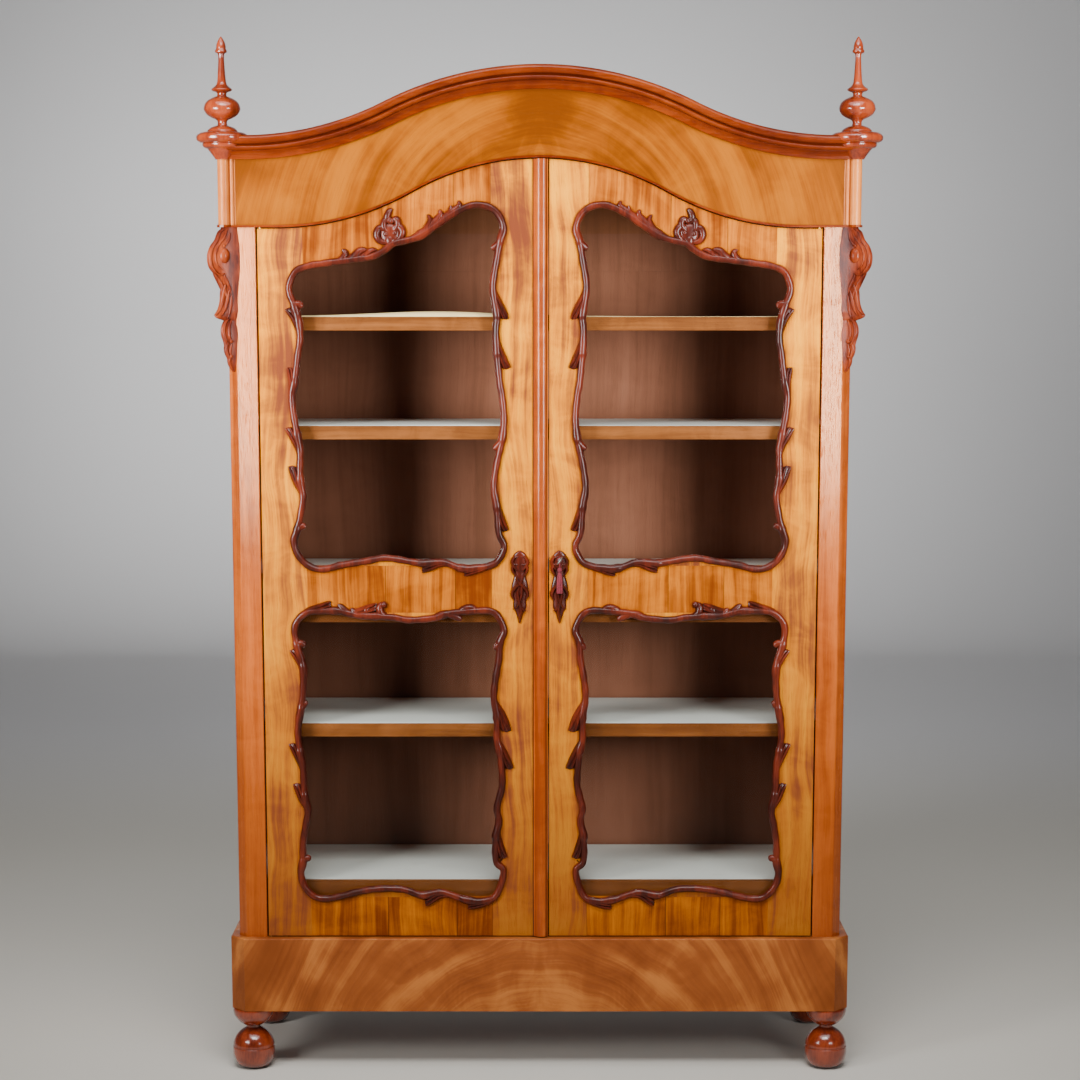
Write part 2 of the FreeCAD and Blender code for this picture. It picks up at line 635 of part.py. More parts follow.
def cornice_box():
    """Ledges and bead, frieze board, side friezes, back rail, door stop, top board and braces."""
    ledge = box(POST_INNER, HALF + LEDGE_PROUD, FRONT - LEDGE_PROUD, FRONT + LEDGE_INNER,
                POST_TOP, FRIEZE_BOTTOM)
    ledge = ledge.multiFuse([
        box(HALF - LEDGE_INNER, HALF + LEDGE_PROUD, FRONT + LEDGE_INNER, BACK, POST_TOP, FRIEZE_BOTTOM),
        drum(COLUMN_X, FRONT, POST_TOP, LEDGE_EAR_RADIUS, LEDGE_THICK, Vector(0, 0, 1))]).removeSplitter()
    bead = arched_strip(POST_TOP, FRIEZE_TURN, FRIEZE_BOTTOM, FRIEZE_TURN, POST_INNER,
                        FRONT - LEDGE_PROUD, STOP_FACE)
    half = HALF - COLUMN_SIDE - FRIEZE_JOINT
    frieze = arched_strip(FRIEZE_BOTTOM, FRIEZE_TURN, CORNICE_TOP - FRIEZE_JOINT, CORNICE_TURN, half,
                          FRONT - FRIEZE_PROUD, STOP_FACE)
    top = CORNICE_TOP - FRIEZE_JOINT
    side = box(SIDE_INNER, HALF, FRONT + COLUMN_SIDE, BACK, FRIEZE_BOTTOM, top)
    board_top = CORNICE_TOP - TOP_BOARD_DROP
    rail = box(-SIDE_INNER, SIDE_INNER, BACK_INNER, BACK, POST_TOP, board_top - TOP_BOARD_THICK)
    rail = rail.cut(Part.makeCompound([ledge, mirrored(ledge)]))
    stop = arched_strip(POST_TOP - STOP_DROP, FRIEZE_TURN, POST_TOP + STOP_RISE, FRIEZE_TURN, POST_INNER,
                        STOP_FACE, STOP_FACE + STOP_THICK)
    top_board = box(-SIDE_INNER, SIDE_INNER, STOP_FACE, BACK, board_top - TOP_BOARD_THICK, board_top)
    braces = []
    for x in (-BRACE_SPREAD, 0, BRACE_SPREAD):
        low = x - BRACE_THICK / 2
        corners = [Vector(low, STOP_FACE, board_top), Vector(low, STOP_FACE + BRACE_DEPTH, board_top),
                   Vector(low, STOP_FACE, board_top + BRACE_HEIGHT * (1 if x == 0 else 0.45))]
        braces.append(Part.Face(Part.makePolygon(corners + corners[:1])).extrude(Vector(BRACE_THICK, 0, 0)))
    return {
        "cornice_base": [ledge, mirrored(ledge), bead],
        "frieze": [frieze],
        "cornice_frame": [side, mirrored(side), rail, stop],
        "top_board": [top_board] + braces,
    }


# Bracket outline: how far it stands out of the corner, as a share of its reach, against how far it is
# below the ledge, as a share of its height
BRACKET_shares = [(0.18, 0.0), (0.42, 0.05), (0.86, 0.13), (1.0, 0.19), (0.86, 0.26), (0.42, 0.33),
                  (0.22, 0.4), (0.2, 0.46), (0.3, 0.53), (0.28, 0.6), (0.2, 0.7), (0.12, 0.85), (0.04, 1.0)]
BRACKET_LEAF_shares = [(0.2, 0.41), (0.52, 0.5), (0.46, 0.515), (0.2, 0.5)]
BRACKET_EYE_share = (0.52, 0.19)


def bracket():
    """Right carved bracket: a console with a scroll and its eye on both cheeks, a leaf that turns
    outwards and a long tail. It is drawn in the plane that stands out of the canted corner."""
    def at(reach, drop):
        return Vector(BRACKET_REACH * reach, 0, POST_TOP - BRACKET_HEIGHT * drop)

    front = Part.BSplineCurve()
    front.interpolate([at(*share) for share in BRACKET_shares])
    outline = front.toShape().discretize(SPLINE_CUTS + 1) + [at(0, 1), at(0, 0)]
    body = Part.Face(Part.makePolygon(outline + outline[:1])).extrude(Vector(0, BRACKET_THICK, 0))
    leaf = [at(*share) for share in BRACKET_LEAF_shares + BRACKET_LEAF_shares[:1]]
    leaf = Part.Face(Part.makePolygon(leaf)).extrude(Vector(0, BRACKET_THICK, 0))
    eye = at(*BRACKET_EYE_share)
    boss = drum(eye.x, -BRACKET_EYE_PROUD, eye.z, BRACKET_EYE_RADIUS,
                BRACKET_THICK + 2 * BRACKET_EYE_PROUD, Vector(0, 1, 0))
    shape = body.multiFuse([leaf, boss])
    shape.translate(Vector(0, -BRACKET_THICK / 2, 0))
    shape.rotate(Vector(0, 0, 0), Vector(0, 0, 1), -45)
    shape.translate(Vector(HALF - CORNER_CANT / 2, FRONT + CORNER_CANT / 2, 0))
    return shape


# Where the upper pane's top edge starts to climb, as a share of its width, and where its hollow meets
# its crown, as a share of the climb
PANE_CLIMB_share = 0.1
PANE_TURN_share = 0.65


def pane_edges(bottom, top, crest, grow, y):
    """Edges of the left door's pane, grown by a margin. With a crest the top edge climbs from the
    shoulder height at the outer side to the crest height near the meeting side."""
    left, right = -PANE_OUTER - grow, -PANE_INNER + grow
    low, high, radius = bottom - grow, top + grow, PANE_CORNER + grow
    peak = high if crest is None else crest + grow
    diagonal = radius * (1 - math.sqrt(0.5))

    def line(a, b):
        return Part.LineSegment(Vector(a[0], y, a[1]), Vector(b[0], y, b[1])).toShape()

    def corner(x, z, inward, upward):
        start = Vector(x, y, z + upward * radius)
        middle = Vector(x + inward * diagonal, y, z + upward * diagonal)
        return lines(flats(start, middle, Vector(x + inward * radius, y, z), SMALL_CUTS))

    edges = corner(left, low, 1, 1) + corner(right, low, -1, 1) + corner(right, peak, -1, -1)
    edges += corner(left, high, 1, -1)
    edges += [line((left + radius, low), (right - radius, low)),
              line((right, low + radius), (right, peak - radius)),
              line((left, low + radius), (left, high - radius))]
    if crest is None:
        return edges + [line((left + radius, high), (right - radius, high))]
    start = -PANE_OUTER + (PANE_OUTER - PANE_INNER) * PANE_CLIMB_share
    return edges + [line((left + radius, high), (start, high))] + climb(
        (start, top), (-PANE_INNER - PANE_CORNER, crest), PANE_TURN_share, grow, y)


def panes():
    """Heights of both panes: bottom, top or shoulder, and crest."""
    return [(UPPER_PANE_BOTTOM, UPPER_PANE_SHOULDER, UPPER_PANE_CREST),
            (LOWER_PANE_BOTTOM, LOWER_PANE_TOP, None)]


def pane_solid(pane, grow, y0, y1):
    """Upright plate with the pane's outline."""
    return closed_face(pane_edges(*pane, grow, y0)).extrude(Vector(0, y1 - y0, 0))


def door_frame(edge, cuts):
    """Hinge stile, meeting stile and three rails of a left-hand door whose free edge is at the given
    x. The pane openings have a rebate at the back, and the cuts are the mortises of its fittings."""
    leaf = under_arch(DOOR_BOTTOM, POST_TOP - DOOR_TOP_GAP, FRIEZE_TURN, POST_INNER,
                      FRONT, FRONT + DOOR_THICK)
    leaf = leaf.common(box(-DOOR_OUTER, edge, FRONT, FRONT + DOOR_THICK, 0, CORNICE_TOP + ARCH_RISE))
    for pane in panes():
        leaf = leaf.cut(pane_solid(pane, 0, FRONT - OVERRUN, FRONT + DOOR_THICK + OVERRUN))
        leaf = leaf.cut(pane_solid(pane, REBATE, FRONT + REBATE_DEPTH, FRONT + DOOR_THICK + OVERRUN))
    leaf = leaf.cut(Part.makeCompound(cuts))
    tall = CORNICE_TOP + ARCH_RISE

    def between(x0, x1):
        return leaf.common(box(x0, x1, FRONT - OVERRUN, FRONT + DOOR_THICK + OVERRUN, 0, tall))

    return (between(-DOOR_OUTER - OVERRUN, -HINGE_SEAM), between(-MEETING_SEAM, edge + OVERRUN),
            between(-HINGE_SEAM, -MEETING_SEAM))


def glazing():
    """Both glass panes of a left-hand door in their rebates, and the beads that hold them."""
    glass, beads = [], []
    front = FRONT + REBATE_DEPTH
    for pane in panes():
        glass.append(pane_solid(pane, REBATE - GLASS_CLEARANCE, front, front + GLASS_THICK))
        bead = pane_solid(pane, REBATE, front + GLASS_THICK, FRONT + DOOR_THICK)
        beads.append(bead.cut(pane_solid(pane, REBATE - BEAD_WIDTH, front, FRONT + DOOR_THICK + OVERRUN)))
    return glass, beads


# Moulding centre line round each pane, as shares of the pane's width and height: the upper pane's
# heights run from its bottom to its crest
UPPER_MOULDING_shares = [
    (-0.006, 0.777), (0.085, 0.831), (0.242, 0.845), (0.389, 0.857), (0.548, 0.9), (0.678, 0.936),
    (0.825, 0.989), (0.952, 0.989), (0.994, 0.899), (0.965, 0.803), (0.979, 0.695), (0.979, 0.593),
    (0.993, 0.508), (1.011, 0.414), (0.977, 0.288), (0.977, 0.165), (0.986, 0.092), (0.962, 0.005),
    (0.803, -0.006), (0.61, 0.008), (0.446, 0.022), (0.224, 0.002), (0.056, 0.005), (0.0, 0.07),
    (0.046, 0.196), (0.035, 0.325), (0.004, 0.433), (0.013, 0.513), (0.032, 0.593), (0.034, 0.686)]
LOWER_MOULDING_shares = [
    (-0.005, 0.936), (0.11, 1.006), (0.296, 0.992), (0.482, 0.983), (0.666, 0.981), (0.85, 1.006),
    (0.99, 0.978), (0.985, 0.839), (0.96, 0.707), (0.974, 0.564), (0.998, 0.444), (0.973, 0.319),
    (0.968, 0.216), (0.967, 0.129), (0.987, 0.036), (0.883, -0.014), (0.696, 0.018), (0.507, 0.029),
    (0.387, 0.031), (0.204, 0.004), (0.072, 0.004), (0.009, 0.086), (0.021, 0.182), (0.048, 0.308),
    (0.027, 0.458), (0.005, 0.574), (0.021, 0.665), (0.034, 0.813)]


def carved_moulding(pane, shares):
    """Waved moulding round one pane of a left-hand door: a bevelled bar, wide at its foot and narrow
    at its crest, that follows the centre line."""
    bottom, top, crest = pane
    high = top if crest is None else crest
    wide = PANE_OUTER - PANE_INNER
    centre = [Vector(-PANE_OUTER + wide * across, 0, bottom + (high - bottom) * climb)
              for across, climb in shares]
    aside = []
    for before, after in zip(centre[-1:] + centre[:-1], centre[1:] + centre[:1]):
        along = after - before
        aside.append(Vector(-along.z, 0, along.x).normalize())

    def loop(offset, y):
        points = [point + step * offset + Vector(0, y, 0) for point, step in zip(centre, aside)]
        return Part.makePolygon(points + points[:1])

    def block(side):
        return Part.makeLoft([loop(side * MOULDING_WIDTH / 2, FRONT),
                              loop(side * MOULDING_CREST / 2, FRONT - MOULDING_PROUD)], True, True)

    outer, inner = sorted((block(1), block(-1)), key=lambda solid: -abs(solid.Volume))
    return outer.cut(inner)


def astragal():
    """Half-round strip with a narrow fillet that covers the left door's meeting edge."""
    right = MEETING_EDGE
    left = right - ASTRAGAL_WIDTH
    base = FRONT - ASTRAGAL_BASE
    points = [Vector(left - ASTRAGAL_FILLET, FRONT, 0), Vector(left - ASTRAGAL_FILLET, base, 0),
              Vector(left, base, 0), Vector((left + right) / 2, FRONT - ASTRAGAL_PROUD, 0),
              Vector(right, base, 0), Vector(right, FRONT, 0)]
    edges = lines(points[:3]) + [Part.Arc(points[2], points[3], points[4]).toShape()]
    edges += lines(points[4:] + points[:1])
    tall = CORNICE_TOP + ARCH_RISE
    bar = closed_face(edges).extrude(Vector(0, 0, tall))
    leaf = under_arch(DOOR_BOTTOM, POST_TOP - DOOR_TOP_GAP, FRIEZE_TURN, POST_INNER,
                      FRONT - ASTRAGAL_PROUD - OVERRUN, FRONT)
    return bar.common(leaf)


# Escutcheon outline: half widths against drops below its top, both as shares of its size
ESCUTCHEON_shares = [(0.0, 0.0), (0.3, 0.025), (0.46, 0.09), (0.4, 0.17), (0.26, 0.23), (0.42, 0.32),
                     (0.5, 0.45), (0.42, 0.58), (0.4, 0.72), (0.24, 0.84), (0.1, 0.93), (0.0, 1.0)]


def escutcheon():
    """Left carved escutcheon: a spindle with a waist, pointed below, with two small volute eyes."""
    def at(side, wide, drop):
        return Vector(-ESCUTCHEON_OFFSET + side * ESCUTCHEON_WIDTH * wide, FRONT,
                      ESCUTCHEON_TOP - ESCUTCHEON_HEIGHT * drop)

    halves = []
    for side in (-1, 1):
        curve = Part.BSplineCurve()
        curve.interpolate([at(side, *share) for share in ESCUTCHEON_shares])
        halves.append(curve.toShape().discretize(SPLINE_CUTS + 1))
    outline = halves[0] + halves[1][-2:0:-1]
    plate = Part.Face(Part.makePolygon(outline + outline[:1])).extrude(Vector(0, -ESCUTCHEON_PROUD, 0))
    eyes = [drum(at(side, 0.22, 0.11).x, FRONT, at(side, 0.22, 0.11).z, ESCUTCHEON_EYE_RADIUS,
                 ESCUTCHEON_PROUD + ESCUTCHEON_EYE_PROUD, Vector(0, -1, 0)) for side in (-1, 1)]
    return plate.multiFuse(eyes)


def pivot(top):
    """Left knife hinge at the top or the bottom: the fixed plate with its pin, the plate on the door
    and the cuts that they need in the door."""
    up = 1 if top else -1
    fixed_face = POST_TOP if top else PLINTH_TOP
    door_face = POST_TOP - DOOR_TOP_GAP if top else DOOR_BOTTOM
    y0, y1 = PIVOT_Y - PIVOT_INSET / 2, PIVOT_Y - PIVOT_INSET / 2 + PIVOT_PLATE_WIDTH
    start = -PIVOT_X - PIVOT_INSET
    thick = up * PIVOT_PLATE_THICK
    fixed = box(start, start + PIVOT_PLATE_LENGTH, y0, y1, fixed_face, fixed_face + thick)
    gap = abs(fixed_face - door_face)
    pin = rod(-PIVOT_X, PIVOT_Y, fixed_face + thick / 2, PIVOT_PIN_RADIUS,
              PIVOT_PLATE_THICK / 2 + gap + PIVOT_PIN_REACH, Vector(0, 0, -up))
    bore = rod(-PIVOT_X, PIVOT_Y, door_face + thick, PIVOT_PIN_RADIUS + PIVOT_CLEARANCE,
               3 * PIVOT_PLATE_THICK, Vector(0, 0, -up))
    plate_box = (start, start + PIVOT_PLATE_LENGTH, y0, y1, door_face, door_face - thick)
    return fixed.fuse(pin), box(*plate_box).cut(bore), [box(*plate_box)]


def lock():
    """Right door's lock: case, sliding bolt, key and the cuts for them in that door. The key lifts
    nothing: its bit turns under the bolt and throws it by the notch in its lower edge."""
    edge = MEETING_EDGE + MEETING_GAP
    back = FRONT + DOOR_THICK
    front = back - LOCK_CASE_THICK
    left = edge + LOCK_WALL
    right = left + LOCK_CASE_WIDTH
    low, high = LOCK_HEIGHT - LOCK_CASE_BELOW, LOCK_HEIGHT + LOCK_CASE_ABOVE
    case = box(left, right, front, back, low, high)
    case = case.cut(box(left + LOCK_WALL, right - LOCK_WALL, front + LOCK_WALL, back - LOCK_WALL,
                        low + LOCK_WALL, high - LOCK_WALL))
    bolt_low = LOCK_HEIGHT + KEY_BIT_REACH + BOLT_CLEARANCE
    bolt_mid = (front + back) / 2
    channel = box(edge - OVERRUN, left + OVERRUN, bolt_mid - BOLT_THICK / 2 - BOLT_CLEARANCE,
                  bolt_mid + BOLT_THICK / 2 + BOLT_CLEARANCE, bolt_low - BOLT_CLEARANCE,
                  bolt_low + BOLT_HEIGHT + BOLT_CLEARANCE)
    bolt = box(edge + BOLT_CLEARANCE, edge + BOLT_CLEARANCE + BOLT_LENGTH, bolt_mid - BOLT_THICK / 2,
               bolt_mid + BOLT_THICK / 2, bolt_low, bolt_low + BOLT_HEIGHT)
    notch = KEY_X + BOLT_THROW / 2
    bolt = bolt.cut(box(notch - BOLT_TALON / 2, notch + BOLT_TALON / 2, front, back,
                        bolt_low - OVERRUN, bolt_low + BOLT_TALON_DEPTH))
    keyhole = drum(KEY_X, FRONT - ESCUTCHEON_PROUD - OVERRUN, LOCK_HEIGHT,
                   KEY_SHANK_RADIUS + KEYHOLE_CLEARANCE,
                   ESCUTCHEON_PROUD + 2 * OVERRUN + REBATE_DEPTH, Vector(0, 1, 0))
    case = case.cut(channel).cut(keyhole)
    socket = box(edge - MEETING_GAP - BOLT_THROW - OVERRUN, edge, bolt_mid - BOLT_THICK / 2 - BOLT_CLEARANCE,
                 bolt_mid + BOLT_THICK / 2 + BOLT_CLEARANCE, bolt_low - BOLT_CLEARANCE,
                 bolt_low + BOLT_HEIGHT + BOLT_CLEARANCE)
    cuts = [box(left, right, front, back + OVERRUN, low, high), channel, keyhole]
    return case, bolt, keyhole, cuts, socket


def key():
    """Key in the right door: shank, pierced bow turned a little, and the bit inside the case."""
    tip = FRONT - KEY_PROJECTION
    inner = FRONT + DOOR_THICK - LOCK_WALL - BOLT_CLEARANCE
    shank = rod(KEY_X, tip, LOCK_HEIGHT, KEY_SHANK_RADIUS, inner - tip, Vector(0, 1, 0))
    bow_y = tip - KEY_BOW_RADIUS + KEY_SHANK_RADIUS
    bow = drum(KEY_X - KEY_BOW_THICK / 2, bow_y, LOCK_HEIGHT, KEY_BOW_RADIUS, KEY_BOW_THICK,
               Vector(1, 0, 0))
    bow = bow.cut(drum(KEY_X - KEY_BOW_THICK, bow_y, LOCK_HEIGHT, KEY_BOW_HOLE, 2 * KEY_BOW_THICK,
                       Vector(1, 0, 0)))
    bow.rotate(Vector(KEY_X, bow_y, LOCK_HEIGHT), Vector(0, 1, 0), KEY_BOW_TURN)
    bit = box(KEY_X - KEY_BIT_THICK / 2, KEY_X + KEY_BIT_THICK / 2, inner - KEY_BIT_LENGTH, inner,
              LOCK_HEIGHT - KEY_BIT_REACH, LOCK_HEIGHT)
    return shank.multiFuse([bow, bit])


def tassel():
    """Small tassel that hangs on the key's shank: loop, cord, knot and skirt, one closed form."""
    y = FRONT - ESCUTCHEON_PROUD - TASSEL_STANDOFF
    inner = KEY_SHANK_RADIUS + TASSEL_LOOP_CLEARANCE
    outer = inner + 2 * TASSEL_LOOP_WIRE
    along = Vector(0, 1, 0)
    loop = drum(KEY_X, y - TASSEL_LOOP_WIRE, LOCK_HEIGHT, outer, 2 * TASSEL_LOOP_WIRE, along)
    loop = loop.cut(drum(KEY_X, y - outer, LOCK_HEIGHT, inner, 2 * outer, along))
    knot = -TASSEL_CORD - 2 * TASSEL_HEAD_RADIUS
    body = turned(KEY_X, y, LOCK_HEIGHT - inner - TASSEL_LOOP_WIRE, [
        (TASSEL_SKIRT_RADIUS, knot - TASSEL_SKIRT),
        (TASSEL_HEAD_RADIUS * 0.7, knot),
        (TASSEL_HEAD_RADIUS, -TASSEL_CORD - TASSEL_HEAD_RADIUS),
        (TASSEL_LOOP_WIRE, -TASSEL_CORD),
        (TASSEL_LOOP_WIRE, 0)])
    return body.fuse(loop)


def flush_bolt(top):
    """Left door's flush bolt at the top or the bottom: the flat bar with its knob, the channel in the
    door and the hole that it shoots into. At rest it is drawn back into the door."""
    up = 1 if top else -1
    door_face = POST_TOP - DOOR_TOP_GAP + ARCH_RISE if top else DOOR_BOTTOM
    length = FLUSH_TOP_LENGTH if top else FLUSH_BOTTOM_LENGTH
    front = FRONT + FLUSH_BAR_DEPTH - FLUSH_BAR_THICK / 2
    back = FRONT + FLUSH_BAR_DEPTH + FLUSH_BAR_THICK / 2
    half, gap = FLUSH_BAR_WIDTH / 2, FLUSH_BAR_CLEARANCE
    end = door_face - up * FLUSH_REST
    bar = box(-half, half, front, back, end, end - up * length)
    knob_z = end - up * (length - half - FLUSH_KNOB_RADIUS)
    knob = drum(0, back, knob_z, FLUSH_KNOB_RADIUS, FRONT + DOOR_THICK + FLUSH_KNOB_REACH - back,
                Vector(0, 1, 0))
    channel = box(-half - gap, half + gap, front - gap, back + gap,
                  door_face + up * OVERRUN, end - up * (length + gap))
    wide = FLUSH_KNOB_RADIUS + gap
    slot = box(-wide, wide, back, FRONT + DOOR_THICK + OVERRUN,
               knob_z - up * wide, knob_z + up * (FLUSH_THROW + wide))
    strike = box(-half - gap, half + gap, front - gap, back + gap,
                 door_face, door_face + up * (FLUSH_THROW + OVERRUN))
    return bar.fuse(knob), [channel, slot], strike


def build():
    """Every node with its solids."""
    nodes = {}
    for name, y in (("feet_front", PLINTH_FRONT + FOOT_INSET), ("feet_back", BACK - FOOT_INSET)):
        nodes[name] = [foot(side * (PLINTH_HALF - FOOT_INSET), y) for side in (-1, 1)]
    nodes.update(plinth())
    post, frame, panels = side_frame(corner_post())
    cap, spire, console, reeds = capital(), finial(), bracket(), column()
    for side, name in ((1, "right"), (-1, "left")):
        def placed(shape):
            return shape if side > 0 else mirrored(shape)
        nodes["corner_post_" + name] = [placed(post)]
        nodes["side_frame_" + name] = [placed(piece) for piece in frame]
        nodes["side_panels_" + name] = [placed(piece) for piece in panels]
    for name, piece in (("columns", reeds), ("capitals", cap), ("finials", spire), ("brackets", console)):
        nodes[name] = [piece, mirrored(piece)]
    nodes["back_frame"], nodes["back_panels"] = back()
    nodes.update(inside())
    nodes.update(cornice_box())
    front_moulding, side_moulding = cornice(cap)
    nodes["cornice_front"] = [front_moulding]
    nodes["cornice_sides"] = [side_moulding, mirrored(side_moulding)]

    top_fixed, top_plate, top_cuts = pivot(True)
    low_fixed, low_plate, low_cuts = pivot(False)
    case, bolt, keyhole, lock_cuts, socket = lock()
    top_bolt, top_channel, top_strike = flush_bolt(True)
    low_bolt, low_channel, low_strike = flush_bolt(False)
    fixed = [top_fixed, low_fixed]
    nodes["pivot_plates"] = fixed + [mirrored(piece) for piece in fixed]
    glass, beads = glazing()
    mouldings = [carved_moulding(pane, shares)
                 for pane, shares in zip(panes(), (UPPER_MOULDING_shares, LOWER_MOULDING_shares))]
    pivot_cuts = top_cuts + low_cuts
    right_edge = -(MEETING_EDGE + MEETING_GAP)
    leaves = {
        "left": door_frame(MEETING_EDGE, pivot_cuts + top_channel + low_channel + [socket]),
        "right": door_frame(right_edge, pivot_cuts + [mirrored(cut) for cut in lock_cuts]),
    }
    for name, (hinge_stile, meeting_stile, rails) in leaves.items():
        def placed(shape):
            return shape if name == "left" else mirrored(shape)
        door = "door_" + name + "_"
        nodes[door + "hinge_stile"] = [placed(hinge_stile)]
        nodes[door + "meeting_stile"] = [placed(meeting_stile)]
        nodes[door + "rails"] = [placed(rails)]
        nodes[door + "glass"] = [placed(piece) for piece in glass]
        nodes[door + "glazing_beads"] = [placed(piece) for piece in beads]
        nodes[door + "moulding"] = [placed(piece) for piece in mouldings]
        nodes[door + "pivots"] = [placed(piece) for piece in (top_plate, low_plate)]
    nodes["door_left_astragal"] = [astragal()]
    nodes["door_left_escutcheon"] = [escutcheon()]
    nodes["door_right_escutcheon"] = [mirrored(escutcheon()).cut(keyhole)]
    nodes["flush_bolt_top"], nodes["flush_bolt_bottom"] = [top_bolt], [low_bolt]
    nodes["lock_case"], nodes["lock_bolt"], nodes["key"] = [case], [bolt], [key()]
    nodes["key_tassel"] = [tassel()]

    fittings = Part.makeCompound(nodes["pivot_plates"] + [top_strike, low_strike])
    for name in ("cornice_base", "frieze", "plinth_front", "cornice_frame"):
        nodes[name] = [piece.cut(fittings) for piece in nodes[name]]
    nodes["door_left_astragal"] = [nodes["door_left_astragal"][0].cut(Part.makeCompound(top_channel))]
    return nodes


def export(nodes):
    """Write each node to its own STEP file, as one solid or a group of solids."""
    os.makedirs("parts", exist_ok=True)
    for name, pieces in nodes.items():
        solids = [solid for piece in pieces for solid in piece.Solids]
        shape = solids[0] if len(solids) == 1 else Part.makeCompound(solids)
        shape.exportStep(os.path.join("parts", name + ".step"))
        bad = [solid for solid in solids if not solid.isValid()]
        if bad:
            print(name, "has", len(bad), "solids that aren't valid")


if __name__ == "__main__":
    made = build()
    export(made)
    whole = Part.makeCompound([piece for pieces in made.values() for piece in pieces]).BoundBox
    print(len(made), "nodes, size", round(whole.XLength, 1), round(whole.YLength, 1), round(whole.ZLength, 1))
    print("x", round(whole.XMin, 2), round(whole.XMax, 2), "y", round(whole.YMin, 2), round(whole.YMax, 2))
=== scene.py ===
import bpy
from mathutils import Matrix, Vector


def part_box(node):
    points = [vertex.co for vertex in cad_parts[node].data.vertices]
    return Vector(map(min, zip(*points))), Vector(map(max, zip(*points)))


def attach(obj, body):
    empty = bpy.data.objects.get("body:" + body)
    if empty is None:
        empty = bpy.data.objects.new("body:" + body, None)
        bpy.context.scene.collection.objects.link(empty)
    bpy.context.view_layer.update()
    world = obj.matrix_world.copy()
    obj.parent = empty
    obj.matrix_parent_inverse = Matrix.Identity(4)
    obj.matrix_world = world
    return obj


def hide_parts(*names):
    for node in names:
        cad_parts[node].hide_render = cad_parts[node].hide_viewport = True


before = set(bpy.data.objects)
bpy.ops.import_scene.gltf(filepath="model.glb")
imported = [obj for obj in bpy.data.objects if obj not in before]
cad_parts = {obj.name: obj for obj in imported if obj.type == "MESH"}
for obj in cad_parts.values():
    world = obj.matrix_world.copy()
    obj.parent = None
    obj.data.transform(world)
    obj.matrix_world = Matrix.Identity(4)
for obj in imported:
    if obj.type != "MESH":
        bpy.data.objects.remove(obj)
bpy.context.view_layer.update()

import math

import bpy
import numpy as np

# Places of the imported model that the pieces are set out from, in metres
FINIAL_RADIUS = 0.041
CORNICE_HEIGHT = 0.052
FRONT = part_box("corner_post_left")[0].y
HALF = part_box("corner_post_right")[1].x
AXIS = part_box("finials")[1].x - FINIAL_RADIUS
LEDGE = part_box("frieze")[0].z
CORNICE_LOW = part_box("capitals")[0].z
CORNICE_HIGH = CORNICE_LOW + CORNICE_HEIGHT
# The key's place across and up, and the way out from the door fronts
KEYHOLE = (0.0465, 1.231)
AWAY = np.array((0.0, -1.0, 0.0))

# Camera of the photograph: its lens and the middle of its view in pixels of the square frame, its
# tilt and its place, and a pixel's mean width on the door fronts
FRAME_PIXELS = 1080
LENS = 2453.0
VIEW_MIDDLE = (539.7, 690.0)
TILT = math.radians(8.65)
EYE = np.array((0.0, FRONT - 5.70, 1.79))
PIXEL = 1 / 427


def grid(x, y, z):
    """Places of three numbers, each stretched to the shape of all."""
    return np.stack(np.broadcast_arrays(x, y, z), -1)


def angles(sides):
    """Even angles round a circle."""
    return np.arange(sides) * 2 * math.pi / sides


def seen_at(pixels):
    """Places on the plane of the door fronts that the photograph's pixels show: the eye plus each
    pixel's ray, as long as it takes to reach the plane."""
    pixels = np.asarray(pixels, float)
    right = (pixels[..., 0] - VIEW_MIDDLE[0]) / LENS
    up = (VIEW_MIDDLE[1] - pixels[..., 1]) / LENS
    cosine, sine = math.cos(TILT), math.sin(TILT)
    ray = grid(right, cosine + up * sine, up * cosine - sine)
    return EYE + ray * ((FRONT - EYE[1]) / ray[..., 1:2])


# Lines, sections and skins

def smooth_line(points, steps=8, closed=False):
    """Smooth line through points: a cubic on each span, whose slope at a point is half the way
    between that point's neighbours."""
    points = np.asarray(points, float)
    if closed:
        points = np.vstack((points[-1:], points, points[:2]))
    else:
        points = np.vstack((2 * points[0] - points[1], points, 2 * points[-1] - points[-2]))
    a, b, c, d = (points[i:len(points) - 3 + i, None, :] for i in range(4))
    t = (np.arange(steps) / steps)[None, :, None]
    line = b + 0.5 * t * (c - a + t * (2 * a - 5 * b + 4 * c - d + t * (3 * (b - c) + d - a)))
    line = line.reshape(-1, points.shape[1])
    return line if closed else np.vstack((line, points[-2]))


def evenly(line, spacing, closed=False):
    """The same line with its points an even way apart."""
    whole = np.vstack((line, line[:1])) if closed else line
    way = np.concatenate(((0,), np.cumsum(np.linalg.norm(np.diff(whole, axis=0), axis=1))))
    count = max(int(round(way[-1] / spacing)), 4)
    stops = np.linspace(0, way[-1], count + 1)
    if closed:
        stops = stops[:-1]
    return np.stack([np.interp(stops, way, whole[:, axis]) for axis in range(line.shape[1])], -1)


def directions(line, closed=False):
    """Unit steps along a line: the way from each point's last neighbour to its next one."""
    if closed:
        step = np.roll(line, -1, 0) - np.roll(line, 1, 0)
    else:
        step = np.gradient(line, axis=0)
    return step / np.linalg.norm(step, axis=1, keepdims=True)


